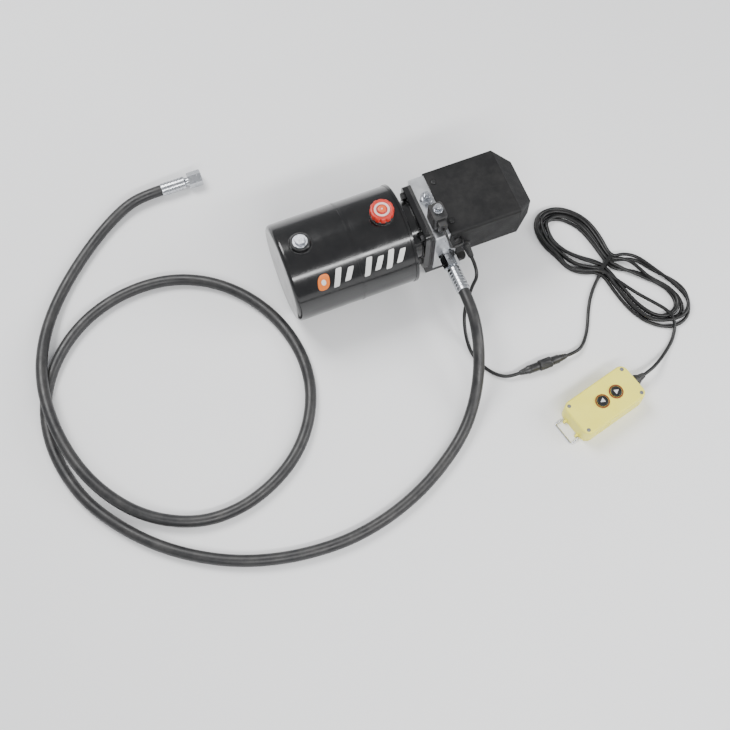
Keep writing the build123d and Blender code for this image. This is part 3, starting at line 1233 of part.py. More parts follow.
def pendant_screws():
    """Countersunk case screws."""
    screws = []
    for u, v in case_corners():
        shank = z_rod(1.5, 8, CASE_HEIGHT - 2, u, v)
        head = z_rod(3.4, CASE_HEIGHT - 2.1, CASE_HEIGHT - 0.2, u, v)
        screws.append(on_pendant(shank + head))
    return screws


# ================================================================ export
NODES = [
    tank_shell, tank_end_cap, tank_front_head, top_plug, breather_gasket, breather_cap,
    suction_strainer, tank_pipes, mounting_bracket, clamp_bolts, manifold, port_plugs, relief_valve,
    release_valve, release_coil, override_pin, coil_lead, pump_body, pump_cover, pump_bushes,
    drive_gear, driven_gear, seals, shaft_coupling, motor_shaft, armature_core,
    armature_windings, commutator, motor_bearings, motor_drive_plate, motor_yoke, motor_magnets,
    motor_rear_cap, brush_set, long_bolts, start_relay, power_links, motor_cover, cover_screws,
    port_adaptor, pressure_nut, hose_ferrules, far_nut, hose, lead_gland, control_lead, lead_socket,
    pendant_plug, cable_in, cable_hank, hank_tie, cable_out, pendant_gland, pendant_base,
    pendant_top, up_button, down_button, pendant_switches, pendant_bail, pendant_screws]


def main():
    """Builds every node and writes one STEP file for each."""
    os.makedirs("parts", exist_ok=True)
    for make in NODES:
        made = make()
        if isinstance(made, (list, tuple)):
            solids = [solid for piece in made for solid in piece.solids()]
            made = Compound(children=solids)
        export_step(made, f"parts/{make.__name__}.step")


main()
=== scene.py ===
"""Looks of an electric hydraulic power unit with its pressure hose and hand pendant.

Metres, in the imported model's frame: +X from the oil tank to the motor, +Z up from the floor.
"""
import json
import math

import bpy
import numpy as np
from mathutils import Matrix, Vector


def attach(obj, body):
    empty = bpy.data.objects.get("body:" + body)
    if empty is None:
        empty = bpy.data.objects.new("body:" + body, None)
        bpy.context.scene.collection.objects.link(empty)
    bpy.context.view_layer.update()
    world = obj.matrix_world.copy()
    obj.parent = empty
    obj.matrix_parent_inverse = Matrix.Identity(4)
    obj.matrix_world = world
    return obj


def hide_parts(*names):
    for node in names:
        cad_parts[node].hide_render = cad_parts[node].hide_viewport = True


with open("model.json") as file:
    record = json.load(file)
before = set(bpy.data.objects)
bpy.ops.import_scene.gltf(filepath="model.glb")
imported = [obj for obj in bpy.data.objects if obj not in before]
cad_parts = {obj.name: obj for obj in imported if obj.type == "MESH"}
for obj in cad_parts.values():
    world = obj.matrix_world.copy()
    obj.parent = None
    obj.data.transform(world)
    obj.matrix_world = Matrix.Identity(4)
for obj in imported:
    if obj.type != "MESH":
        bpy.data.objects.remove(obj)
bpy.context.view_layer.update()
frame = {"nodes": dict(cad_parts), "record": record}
NODES = frame["nodes"]
RANDOM = np.random.default_rng(7)
MM = 0.001

# ------------------------------------------------------------------ camera
EYE = (-0.5128, -0.9416, 1.9953)
AIM = (-0.2137, -0.1817, 0.0)
SENSOR = 36.0
LENS = 58.7
view_data = bpy.data.cameras.new("view")
view = bpy.data.objects.new("view", view_data)
bpy.context.scene.collection.objects.link(view)
view.location = EYE
view.rotation_euler = (Vector(AIM) - Vector(EYE)).to_track_quat("-Z", "Y").to_euler()
view_data.sensor_width = SENSOR
view_data.lens = LENS
view_data.clip_end = 30.0
bpy.context.scene.camera = view


# ------------------------------------------------------------------ shader groups
def socket(group, name, kind, direction, value=None):
    """Adds a named input or output to a shader group."""
    made = group.interface.new_socket(name=name, in_out=direction, socket_type=kind)
    if value is not None:
        made.default_value = value
    return made


def new_group(name, inputs, outputs):
    """A shader group with its named sockets, and its two end nodes."""
    group = bpy.data.node_groups.new(name, "ShaderNodeTree")
    for label, kind, value in inputs:
        socket(group, label, kind, "INPUT", value)
    for label, kind in outputs:
        socket(group, label, kind, "OUTPUT")
    return group, group.nodes.new("NodeGroupInput"), group.nodes.new("NodeGroupOutput")


FLOAT, VECTOR = "NodeSocketFloat", "NodeSocketVector"


def mottle_group():
    """Cloudy variation: noise on object coordinates, mapped to the range Low to High."""
    g, gin, out = new_group("mottle", [("Scale", FLOAT, 20.0), ("Low", FLOAT, 0.0), ("High", FLOAT, 1.0)],
                            [("Value", FLOAT)])
    where = g.nodes.new("ShaderNodeTexCoord")
    noise = g.nodes.new("ShaderNodeTexNoise")
    noise.inputs["Detail"].default_value = 5.0
    noise.inputs["Roughness"].default_value = 0.62
    spread = g.nodes.new("ShaderNodeMapRange")
    spread.inputs["From Min"].default_value = 0.32
    spread.inputs["From Max"].default_value = 0.68
    g.links.new(where.outputs["Object"], noise.inputs["Vector"])
    g.links.new(gin.outputs["Scale"], noise.inputs["Scale"])
    g.links.new(noise.outputs["Fac"], spread.inputs["Value"])
    g.links.new(gin.outputs["Low"], spread.inputs["To Min"])
    g.links.new(gin.outputs["High"], spread.inputs["To Max"])
    g.links.new(spread.outputs["Result"], out.inputs["Value"])
    return g


def grain_group():
    """Surface grain: fine noise, stretched along the three axes, as a bump normal."""
    g, gin, out = new_group(
        "grain", [("Scale", FLOAT, 800.0), ("Stretch", VECTOR, (1.0, 1.0, 1.0)),
                  ("Strength", FLOAT, 0.2), ("Depth", FLOAT, 0.0002)], [("Normal", VECTOR)])
    where = g.nodes.new("ShaderNodeTexCoord")
    stretch = g.nodes.new("ShaderNodeVectorMath")
    stretch.operation = "MULTIPLY"
    noise = g.nodes.new("ShaderNodeTexNoise")
    noise.inputs["Detail"].default_value = 2.0
    bump = g.nodes.new("ShaderNodeBump")
    g.links.new(where.outputs["Object"], stretch.inputs[0])
    g.links.new(gin.outputs["Stretch"], stretch.inputs[1])
    g.links.new(stretch.outputs["Vector"], noise.inputs["Vector"])
    g.links.new(gin.outputs["Scale"], noise.inputs["Scale"])
    g.links.new(noise.outputs["Fac"], bump.inputs["Height"])
    g.links.new(gin.outputs["Strength"], bump.inputs["Strength"])
    g.links.new(gin.outputs["Depth"], bump.inputs["Distance"])
    g.links.new(bump.outputs["Normal"], out.inputs["Normal"])
    return g


def dust_group():
    """Dust mask: faces that look up, broken by two sizes of noise."""
    g, gin, out = new_group("dust", [("Amount", FLOAT, 0.2), ("Scale", FLOAT, 35.0)], [("Mask", FLOAT)])
    geometry = g.nodes.new("ShaderNodeNewGeometry")
    parts = g.nodes.new("ShaderNodeSeparateXYZ")
    up = g.nodes.new("ShaderNodeMapRange")
    up.inputs["From Min"].default_value = 0.25
    where = g.nodes.new("ShaderNodeTexCoord")
    noise = g.nodes.new("ShaderNodeTexNoise")
    noise.inputs["Detail"].default_value = 8.0
    noise.inputs["Roughness"].default_value = 0.7
    spread = g.nodes.new("ShaderNodeMapRange")
    spread.inputs["From Min"].default_value = 0.4
    spread.inputs["From Max"].default_value = 0.75
    both = g.nodes.new("ShaderNodeMath")
    both.operation = "MULTIPLY"
    scaled = g.nodes.new("ShaderNodeMath")
    scaled.operation = "MULTIPLY"
    g.links.new(geometry.outputs["Normal"], parts.inputs["Vector"])
    g.links.new(parts.outputs["Z"], up.inputs["Value"])
    g.links.new(where.outputs["Object"], noise.inputs["Vector"])
    g.links.new(gin.outputs["Scale"], noise.inputs["Scale"])
    g.links.new(noise.outputs["Fac"], spread.inputs["Value"])
    g.links.new(up.outputs["Result"], both.inputs[0])
    g.links.new(spread.outputs["Result"], both.inputs[1])
    g.links.new(both.outputs["Value"], scaled.inputs[0])
    g.links.new(gin.outputs["Amount"], scaled.inputs[1])
    g.links.new(scaled.outputs["Value"], out.inputs["Mask"])
    return g


def scratch_group():
    """Scuff mask: thin cells of a stretched Voronoi pattern, broken by noise."""
    g, gin, out = new_group("scuffs", [("Scale", FLOAT, 60.0), ("Amount", FLOAT, 0.3)], [("Mask", FLOAT)])
    where = g.nodes.new("ShaderNodeTexCoord")
    turn = g.nodes.new("ShaderNodeMapping")
    turn.inputs["Rotation"].default_value = (0.4, 0.7, 0.5)
    turn.inputs["Scale"].default_value = (1.0, 0.16, 1.0)
    cells = g.nodes.new("ShaderNodeTexVoronoi")
    cells.feature = "DISTANCE_TO_EDGE"
    thin = g.nodes.new("ShaderNodeMapRange")
    thin.inputs["From Min"].default_value = 0.035
    thin.inputs["From Max"].default_value = 0.0
    noise = g.nodes.new("ShaderNodeTexNoise")
    noise.inputs["Scale"].default_value = 25.0
    spread = g.nodes.new("ShaderNodeMapRange")
    spread.inputs["From Min"].default_value = 0.52
    spread.inputs["From Max"].default_value = 0.7
    both = g.nodes.new("ShaderNodeMath")
    both.operation = "MULTIPLY"
    scaled = g.nodes.new("ShaderNodeMath")
    scaled.operation = "MULTIPLY"
    g.links.new(where.outputs["Object"], turn.inputs["Vector"])
    g.links.new(turn.outputs["Vector"], cells.inputs["Vector"])
    g.links.new(gin.outputs["Scale"], cells.inputs["Scale"])
    g.links.new(cells.outputs["Distance"], thin.inputs["Value"])
    g.links.new(where.outputs["Object"], noise.inputs["Vector"])
    g.links.new(noise.outputs["Fac"], spread.inputs["Value"])
    g.links.new(thin.outputs["Result"], both.inputs[0])
    g.links.new(spread.outputs["Result"], both.inputs[1])
    g.links.new(both.outputs["Value"], scaled.inputs[0])
    g.links.new(gin.outputs["Amount"], scaled.inputs[1])
    g.links.new(scaled.outputs["Value"], out.inputs["Mask"])
    return g


MOTTLE, GRAIN, DUST, SCUFFS = mottle_group(), grain_group(), dust_group(), scratch_group()
DUST_COLOUR = (0.42, 0.4, 0.37)


def finish_of(name, colour, shade=None, metal=0.0, rough=(0.4, 0.5), mottle=30.0, grain=(900.0, 0.2, 0.0002),
              stretch=(1, 1, 1), dust=0.15, scuffs=0.0, scuff_colour=(0.5, 0.5, 0.5), coat=0.0, specular=0.5,
              sheen=0.0):
    """A material: two close colours mixed by mottle, then dust and scuffs, with its own grain."""
    material = bpy.data.materials.new(name)
    material.use_nodes = True
    tree = material.node_tree
    shader = tree.nodes["Principled BSDF"]
    shader.inputs["Metallic"].default_value = metal
    shader.inputs["Coat Weight"].default_value = coat
    shader.inputs["Coat Roughness"].default_value = 0.08
    shader.inputs["Specular IOR Level"].default_value = specular
    shader.inputs["Sheen Weight"].default_value = sheen

    def place(group, **values):
        """A copy of a shader group with its inputs set."""
        node = tree.nodes.new("ShaderNodeGroup")
        node.node_tree = group
        for key, value in values.items():
            node.inputs[key].default_value = value
        return node

    def mixed(factor, one, two):
        """The mix of two colours, each a constant or an output, by a factor."""
        node = tree.nodes.new("ShaderNodeMix")
        node.data_type = "RGBA"
        tree.links.new(factor, node.inputs["Factor"])
        for key, value in (("A", one), ("B", two)):
            entry = [s for s in node.inputs if s.name == key and s.type == "RGBA"][0]
            if isinstance(value, tuple):
                entry.default_value = (*value, 1.0)
            else:
                tree.links.new(value, entry)
        return [s for s in node.outputs if s.type == "RGBA"][0]

    shade = shade or tuple(0.75 * c for c in colour)
    clouds = place(MOTTLE, Scale=mottle)
    top = mixed(clouds.outputs["Value"], tuple(colour), tuple(shade))
    if dust:
        mask = place(DUST, Amount=dust)
        top = mixed(mask.outputs["Mask"], top, DUST_COLOUR)
    if scuffs:
        mask = place(SCUFFS, Amount=scuffs)
        top = mixed(mask.outputs["Mask"], top, tuple(scuff_colour))
    tree.links.new(top, shader.inputs["Base Color"])
    dull = place(MOTTLE, Scale=mottle * 2.3, Low=rough[0], High=rough[1])
    tree.links.new(dull.outputs["Value"], shader.inputs["Roughness"])
    relief = place(GRAIN, Scale=grain[0], Strength=grain[1], Depth=grain[2], Stretch=stretch)
    tree.links.new(relief.outputs["Normal"], shader.inputs["Normal"])
    return material


FINISHES = {
    "tank_paint": finish_of("gloss_black_paint", (0.004, 0.004, 0.0045), (0.006, 0.006, 0.0065),
                            rough=(0.14, 0.24), grain=(260.0, 0.12, 0.0003), dust=0.015,
                            scuffs=0.03, coat=0.25, mottle=14),
    "bracket_paint": finish_of("black_powder_coat", (0.018, 0.018, 0.019), rough=(0.38, 0.5),
                               grain=(1400.0, 0.35, 0.0002), dust=0.12),
    "motor_paint": finish_of("black_motor_enamel", (0.02, 0.02, 0.022), rough=(0.3, 0.42)),
    "black_bolts": finish_of("black_oxide", (0.03, 0.03, 0.032), (0.05, 0.05, 0.05), metal=0.8,
                             rough=(0.3, 0.42), dust=0.03),
    "zinc_plate": finish_of("bright_zinc", (0.62, 0.63, 0.66), (0.5, 0.52, 0.56), metal=1.0,
                            rough=(0.18, 0.32), mottle=60, grain=(1500.0, 0.08, 0.0001), dust=0.04),
    "fitting_zinc": finish_of("bright_fittings", (0.64, 0.65, 0.67), (0.52, 0.54, 0.57), metal=1.0,
                              rough=(0.16, 0.3), mottle=70, grain=(1500.0, 0.08, 0.0001), dust=0.03),
    "gasket_rubber": finish_of("pale_gasket", (0.72, 0.6, 0.58), rough=(0.5, 0.6), dust=0.05),
    "cap_red": finish_of("red_cap", (0.62, 0.03, 0.015), (0.5, 0.022, 0.012), rough=(0.28, 0.4),
                         grain=(900.0, 0.1, 0.0002), dust=0.04),
    "strainer_mesh": finish_of("strainer_steel", (0.55, 0.55, 0.53), metal=1.0, rough=(0.3, 0.45),
                               grain=(1800.0, 0.7, 0.0004)),
    "pipe_steel": finish_of("pipe_steel", (0.5, 0.5, 0.51), metal=1.0, rough=(0.25, 0.4)),
    "block_aluminium": finish_of("milled_aluminium", (0.7, 0.71, 0.73), (0.62, 0.63, 0.65), metal=1.0,
                                 rough=(0.26, 0.38), mottle=24, grain=(500.0, 0.22, 0.0002),
                                 stretch=(0.25, 3.0, 0.25), dust=0.05),
    "motor_aluminium": finish_of("cast_aluminium", (0.62, 0.63, 0.64), metal=1.0, rough=(0.4, 0.55),
                                 grain=(700.0, 0.5, 0.0003)),
    "bush_alloy": finish_of("bearing_bronze", (0.62, 0.46, 0.26), metal=1.0, rough=(0.25, 0.4)),
    "ground_steel": finish_of("ground_steel", (0.6, 0.61, 0.63), metal=1.0, rough=(0.15, 0.28),
                              grain=(900.0, 0.15, 0.0001), stretch=(3, 0.3, 0.3), dust=0.0),
    "core_steel": finish_of("laminated_core", (0.35, 0.35, 0.36), metal=1.0, rough=(0.35, 0.5),
                            grain=(1200.0, 0.6, 0.0002), stretch=(4, 0.1, 0.1), dust=0.0),
    "winding_copper": finish_of("enamelled_copper", (0.6, 0.22, 0.08), (0.45, 0.14, 0.05), metal=0.85,
                                rough=(0.2, 0.35), grain=(1100.0, 0.7, 0.0004), dust=0.0),
    "bar_copper": finish_of("bar_copper", (0.78, 0.4, 0.24), (0.6, 0.3, 0.18), metal=1.0, rough=(0.2, 0.4)),
    "magnet_ferrite": finish_of("ferrite", (0.06, 0.06, 0.065), rough=(0.5, 0.65)),
    "brush_carbon": finish_of("brush_plate", (0.05, 0.045, 0.04), rough=(0.5, 0.7)),
    "relay_can": finish_of("relay_can", (0.6, 0.6, 0.58), (0.5, 0.5, 0.46), metal=1.0, rough=(0.25, 0.4)),
    "seal_rubber": finish_of("seal_rubber", (0.012, 0.012, 0.012), rough=(0.35, 0.5), dust=0.0),
    "coil_plastic": finish_of("coil_moulding", (0.022, 0.022, 0.023), rough=(0.4, 0.55),
                              grain=(1300.0, 0.3, 0.0002), dust=0.1),
    "cover_plastic": finish_of("textured_cover", (0.005, 0.005, 0.0055), (0.008, 0.008, 0.0085),
                               rough=(0.5, 0.62), mottle=18, grain=(1300.0, 0.6, 0.0003),
                               dust=0.03, scuffs=0.06,
                               scuff_colour=(0.05, 0.05, 0.05), specular=0.28),
    "hose_rubber": finish_of("hose_cover", (0.014, 0.014, 0.015), (0.021, 0.021, 0.022), rough=(0.34, 0.5),
                             mottle=25, grain=(700.0, 0.3, 0.0003), dust=0.1, scuffs=0.15,
                             scuff_colour=(0.16, 0.16, 0.16)),
    "lead_rubber": finish_of("lead_jacket", (0.008, 0.008, 0.0085), rough=(0.3, 0.42), mottle=60,
                             grain=(1500.0, 0.15, 0.0001), dust=0.05),
    "tie_nylon": finish_of("tie_nylon", (0.012, 0.012, 0.012), rough=(0.25, 0.35), dust=0.0),
    "gland_nylon": finish_of("gland_nylon", (0.02, 0.02, 0.021), rough=(0.35, 0.5), dust=0.08),
    "connector_nylon": finish_of("connector_nylon", (0.018, 0.018, 0.019), rough=(0.3, 0.45), dust=0.08),
    "case_yellow": finish_of("yellow_case", (0.95, 0.87, 0.13), (0.91, 0.82, 0.1), rough=(0.34, 0.46),
                             mottle=30, grain=(1300.0, 0.25, 0.0002), dust=0.05, scuffs=0.1,
                             scuff_colour=(0.74, 0.68, 0.3)),
    "button_black": finish_of("button_black", (0.015, 0.015, 0.016), rough=(0.25, 0.38), dust=0.03),
    "switch_plastic": finish_of("switch_plastic", (0.12, 0.12, 0.13), rough=(0.4, 0.5)),
    "bail_steel": finish_of("bail_wire", (0.74, 0.75, 0.77), metal=1.0, rough=(0.2, 0.35), dust=0.0),
}
EXTRA = {
    "mark_orange": finish_of("mark_orange", (0.85, 0.2, 0.02), rough=(0.3, 0.4), dust=0.02),
    "mark_white": finish_of("mark_white", (0.82, 0.82, 0.8), rough=(0.3, 0.4), dust=0.02),
    # Pinkish white: a painted highlight for the glossy red breather cap's top ring and centre dot.
    "cap_painted_highlight": finish_of("cap_painted_highlight", (0.85, 0.66, 0.64), rough=(0.35, 0.45), dust=0.02),
    "cap_orange": finish_of("cap_orange", (0.8, 0.14, 0.03), (0.7, 0.1, 0.02), rough=(0.32, 0.42), dust=0.03),
    "button_rim": finish_of("button_rim", (0.22, 0.03, 0.02), rough=(0.35, 0.45), dust=0.02),
    "symbol_white": finish_of("symbol_white", (0.8, 0.8, 0.78), rough=(0.4, 0.5), dust=0.0),
}
for part in frame["record"]["subparts"]:
    body_mesh = NODES[part["node"]].data
    body_mesh.materials.clear()
    body_mesh.materials.append(FINISHES[part["material_slot"]])


# ------------------------------------------------------------------ meshes and cords
def add_mesh(name, parts, finish, body="root", sharp=38.0):
    """A mesh object from (points, faces) arrays, smooth but for its sharp edges, riding on a body."""
    verts, faces, base = [], [], 0
    for points, quads in parts:
        verts.append(points)
        faces.extend((quads + base).tolist())
        base += len(points)
    mesh = bpy.data.meshes.new(name)
    mesh.from_pydata(np.concatenate(verts).tolist(), [], faces)
    mesh.materials.append(finish)
    mesh.validate()
    mesh.polygons.foreach_set("use_smooth", np.ones(len(mesh.polygons), bool))
    mesh.set_sharp_from_angle(angle=math.radians(sharp))
    made = bpy.data.objects.new(name, mesh)
    bpy.context.scene.collection.objects.link(made)
    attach(made, body)
    return made


def grid_faces(rows, columns, wrap=True):
    """Quads between neighbours of a rows by columns grid; wrap joins the last column to the first."""
    r, c = np.meshgrid(np.arange(rows - 1), np.arange(columns if wrap else columns - 1), indexing="ij")
    n = (c + 1) % columns
    quads = np.stack([r * columns + c, r * columns + n, (r + 1) * columns + n, (r + 1) * columns + c], -1)
    return quads.reshape(-1, 4)


def axes_for(direction):
    """Two unit vectors square to a direction, right-handed with it."""
    d = np.array(direction, float)
    d /= np.linalg.norm(d)
    side = np.cross(d, (0.0, 0.0, 1.0)) if abs(d[2]) < 0.9 else np.array((1.0, 0.0, 0.0))
    side /= np.linalg.norm(side)
    return d, side, np.cross(d, side)


def lathe(profile, centre, direction, columns=72, ripple=None):
    """Turned surface: profile is (distance along, radius) pairs in mm, from and to radius 0 or
    closed on itself. A point is centre + along * d + radius * ripple(angle, along) * (cos a side +
    sin a up)."""
    d, side, up = axes_for(direction)
    profile = np.array(profile, float)
    angle = np.linspace(0, 2 * math.pi, columns, endpoint=False)
    s, a = profile[:, :1], angle[None, :]
    radius = profile[:, 1:2] * (ripple(a, s) if ripple else np.ones_like(a))
    points = (np.array(centre, float) + MM * (s[..., None] * d + radius[..., None] *
              (np.cos(a)[..., None] * side + np.sin(a)[..., None] * up)))
    return points.reshape(-1, 3), grid_faces(len(profile), columns)


def cord_curve(name, points, radius, finish):
    """A smooth cord: one NURBS spline of order 3 with the given control points."""
    data = bpy.data.curves.new(name, "CURVE")
    data.dimensions = "3D"
    data.bevel_depth = radius
    data.bevel_resolution = 5
    data.use_fill_caps = True
    spline = data.splines.new("NURBS")
    spline.points.add(len(points) - 1)
    for at, where in zip(spline.points, points):
        at.co = (*where, 1.0)
    spline.order_u = 3
    spline.use_endpoint_u = True
    spline.resolution_u = 8
    data.materials.append(finish)
    made = bpy.data.objects.new(name, data)
    bpy.context.scene.collection.objects.link(made)
    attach(made, "root")
    return made


HOSE_RADIUS = 0.0105
LEAD_RADIUS = 0.00325
HOSE_ROUTE = [
    (-0.012, -0.148, 0.090), (-0.012, -0.182, 0.090), (-0.018, -0.222, 0.082), (-0.028, -0.260, 0.062),
    (-0.044, -0.297, 0.039), (-0.068, -0.334, 0.021), (-0.102, -0.371, 0.0126), (-0.150, -0.406, 0.0106),
    (-0.210, -0.439, 0.0106), (-0.279, -0.463, 0.0106), (-0.352, -0.475, 0.0106), (-0.425, -0.472, 0.0106),
    (-0.493, -0.459, 0.0106), (-0.557, -0.436, 0.0106), (-0.618, -0.401, 0.0106), (-0.672, -0.358, 0.0106),
    (-0.719, -0.304, 0.0106), (-0.755, -0.247, 0.0106), (-0.776, -0.184, 0.0106), (-0.784, -0.119, 0.0106),
    (-0.775, -0.054, 0.0106), (-0.750, 0.000, 0.0106), (-0.712, 0.046, 0.0106), (-0.664, 0.082, 0.0106),
    (-0.606, 0.105, 0.0106), (-0.544, 0.113, 0.0106), (-0.482, 0.105, 0.0106), (-0.425, 0.078, 0.0106),
    (-0.378, 0.036, 0.0106), (-0.343, -0.016, 0.0106), (-0.321, -0.074, 0.0106), (-0.313, -0.136, 0.0106),
    (-0.322, -0.198, 0.0106), (-0.350, -0.256, 0.0106), (-0.392, -0.303, 0.0106), (-0.446, -0.336, 0.0106),
    (-0.507, -0.355, 0.0106), (-0.569, -0.356, 0.0115), (-0.626, -0.337, 0.015), (-0.677, -0.303, 0.022),
    (-0.717, -0.255, 0.031), (-0.745, -0.199, 0.036), (-0.761, -0.138, 0.037), (-0.767, -0.078, 0.037),
    (-0.764, -0.020, 0.035), (-0.751, 0.036, 0.029), (-0.727, 0.092, 0.019), (-0.692, 0.145, 0.0115),
    (-0.645, 0.194, 0.0106), (-0.597, 0.235, 0.0106), (-0.552, 0.266, 0.0115), (-0.510, 0.286, 0.0145),
    (-0.473, 0.291, 0.0158), (-0.446, 0.291, 0.0158)]
LEAD_ROUTE = [
    (0.024, -0.096, 0.103), (0.024, -0.114, 0.103), (0.021, -0.132, 0.092), (0.010, -0.138, 0.074),
    (0.000, -0.148, 0.055), (-0.011, -0.160, 0.037), (-0.019, -0.179, 0.021), (-0.024, -0.202, 0.009),
    (-0.026, -0.225, 0.0035), (-0.023, -0.246, 0.0035), (-0.016, -0.265, 0.0035), (-0.006, -0.282, 0.0045),
    (0.006, -0.295, 0.0075), (0.021, -0.302, 0.0102), (0.038, -0.302, 0.0102)]
CABLE_IN = [
    (0.130, -0.302, 0.0102), (0.146, -0.302, 0.0102), (0.164, -0.296, 0.0065), (0.181, -0.279, 0.0035),
    (0.195, -0.258, 0.0035), (0.207, -0.235, 0.0035), (0.221, -0.213, 0.0035), (0.238, -0.193, 0.0035),
    (0.258, -0.176, 0.0038), (0.275, -0.160, 0.0040), (0.288, -0.139, 0.0038)]
# Outer and inner lane of one turn of the hank, in mm, from the tie up round the smaller lobe,
# back past the tie and down round the larger one.
OUTER_LANE = [(295, -98), (284.5, -52), (248, -14.5), (207, -13.5), (187.5, -40), (187.5, -79), (200.5, -110),
              (206, -140), (230, -160), (264, -170), (269, -213), (279.5, -261), (301.5, -298), (336, -320),
              (372, -314), (395, -287), (391, -246), (365, -200), (349, -164), (323, -147), (293, -151)]
INNER_LANE = [(274, -103), (264.5, -65), (239, -35), (210, -38.5), (208, -57), (208.5, -79), (223, -107),
              (242, -130), (260, -143), (276, -161), (290, -226), (300, -262), (320, -291), (350, -295),
              (368, -277), (364, -243), (336, -211), (312, -193), (301, -184), (291, -175), (282, -159)]
TURN_LANES = (0.0, 0.5, 1.0, 0.85, 0.4)
LAYERS = (3.5, 3.5, 3.6, 9.8, 9.9)
LAST_HALF = 10            # points of the last part turn
TIE_LIFT = 1.8            # mm that the turns rise where the tie holds them
TIE_POINTS = (9, 20)      # places of a turn's points at the tie
BESIDE_TIE = (8, 10, 19, 0)
LAST_LANE, LAST_LAYER = 0.1, 9.9
LANE_CHANGE = 7           # points over which a turn moves to the next lane
WANDER = 0.12


def hank_turns():
    """Control points of the tied hank: each turn follows a lane between the outer and inner one,
    changes lane over its last points, and wanders a little where nothing ties it."""
    outer, inner = np.array(OUTER_LANE), np.array(INNER_LANE)
    count = len(outer)
    turns = len(TURN_LANES)
    index = np.arange(turns * count + LAST_HALF)
    turn, at = index // count, index % count
    change = np.clip((at - (count - LANE_CHANGE)) / (LANE_CHANGE - 1.0), 0.0, 1.0)
    ease = change * change * (3 - 2 * change)
    lanes = np.array(TURN_LANES + (LAST_LANE, LAST_LANE))
    heights = np.array(LAYERS + (LAST_LAYER, LAST_LAYER))
    lane = lanes[turn] * (1 - ease) + lanes[turn + 1] * ease
    height = heights[turn] * (1 - ease) + heights[turn + 1] * ease
    from_tie = np.minimum(np.abs(at - TIE_POINTS[0]), np.minimum(np.abs(at - TIE_POINTS[1]), at + 1))
    free = np.clip(from_tie / 4.0, 0.0, 1.0)
    lane = np.clip(lane + free * WANDER * RANDOM.standard_normal(len(index)), -0.02, 1.05)
    beside = np.where(np.isin(at, BESIDE_TIE), 0.5 * TIE_LIFT, 0)
    height = height + np.where(np.isin(at, TIE_POINTS), TIE_LIFT, beside)
    flat = outer[at] * (1 - lane[:, None]) + inner[at] * lane[:, None]
    return np.column_stack([flat, height]) * MM


CABLE_TAIL = [
    (0.285, -0.205, 0.0128), (0.303, -0.236, 0.0128), (0.322, -0.262, 0.0128), (0.338, -0.284, 0.0128),
    (0.345, -0.303, 0.0118), (0.342, -0.320, 0.0060), (0.331, -0.336, 0.0036), (0.317, -0.349, 0.0035),
    (0.300, -0.361, 0.0060), (0.281, -0.373, 0.0130)]
PENDANT = np.array((0.149, -0.412, 0.0))
TURN = math.radians(14.0)
ALONG = np.array((math.cos(TURN), math.sin(TURN), 0.0))
ACROSS = np.array((-math.sin(TURN), math.cos(TURN), 0.0))
UP = np.array((0.0, 0.0, 1.0))


def on_pendant(u, v, z):
    """A point of the pendant from its own sizes in mm."""
    return PENDANT + MM * (u * ALONG + v * ACROSS + z * UP)


CABLE_END = [tuple(on_pendant(113, 0, 20)), tuple(on_pendant(94, 0, 20))]

hose = cord_curve("pressure_hose", HOSE_ROUTE, HOSE_RADIUS, FINISHES["hose_rubber"])
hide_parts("hose")
control = cord_curve("pump_lead", LEAD_ROUTE, LEAD_RADIUS, FINISHES["lead_rubber"])
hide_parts("control_lead")
pendant_route = CABLE_IN + [tuple(p) for p in hank_turns()] + CABLE_TAIL + CABLE_END
pendant_lead = cord_curve("pendant_lead", pendant_route, LEAD_RADIUS, FINISHES["lead_rubber"])
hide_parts("cable_in", "cable_hank", "cable_out")

# ------------------------------------------------------------------ tank
AXIS_Z = 93.0
TANK_RADIUS = 90.0
BREATHER = (-0.111, 0.0, 0.190)
PLUG_X, BREATHER_X = -262.0, -111.0
BOSS_RADIUS = 20.0
NECK_WELD_X, NECK_WELD_RADIUS, NECK_WELD_TUBE = -0.0510, 0.0545, 0.0014
MARK_ANGLE = 51           # degrees from the top towards -Y
# Middle and half height of each bar in mm; none of them crosses the shell's seam at -177.
MARK_BARS = ((-220, 17.0), (-198.5, 12.0), (-163, 17.0), (-142.5, 12.0), (-122, 17.0), (-101.5, 12.0))


def on_tank(x, angle, proud):
    """Points on the shell: x along it and angle from the top towards -Y, stood off by proud, in mm."""
    radius = TANK_RADIUS + proud
    return MM * np.stack([x, -radius * np.sin(angle), AXIS_Z + radius * np.cos(angle)], -1)


def tank_patch(name, centre, half, power, shear, finish, proud=0.08, cells=16):
    """A thin painted patch on the shell: the square (u, v) is drawn in to a superellipse of that
    power, sheared along the tank and wrapped round the shell."""
    u, v = np.meshgrid(np.linspace(-1, 1, cells), np.linspace(-1, 1, cells), indexing="ij")
    size = np.maximum(np.abs(u), np.abs(v))
    norm = (np.abs(u) ** power + np.abs(v) ** power) ** (1 / power)
    draw = np.where(norm > 0, size / np.maximum(norm, 1e-9), 1.0)
    x = centre[0] + half[0] * (u * draw + shear * v * draw)
    angle = math.radians(centre[1]) + half[1] / TANK_RADIUS * v * draw
    points = on_tank(x, angle, proud).reshape(-1, 3)
    made = add_mesh(name, [(points, grid_faces(cells, cells, wrap=False)[:, ::-1])], finish)
    wall = made.modifiers.new("thickness", "SOLIDIFY")
    wall.thickness = 0.00012
    wall.offset = 0.0
    return made


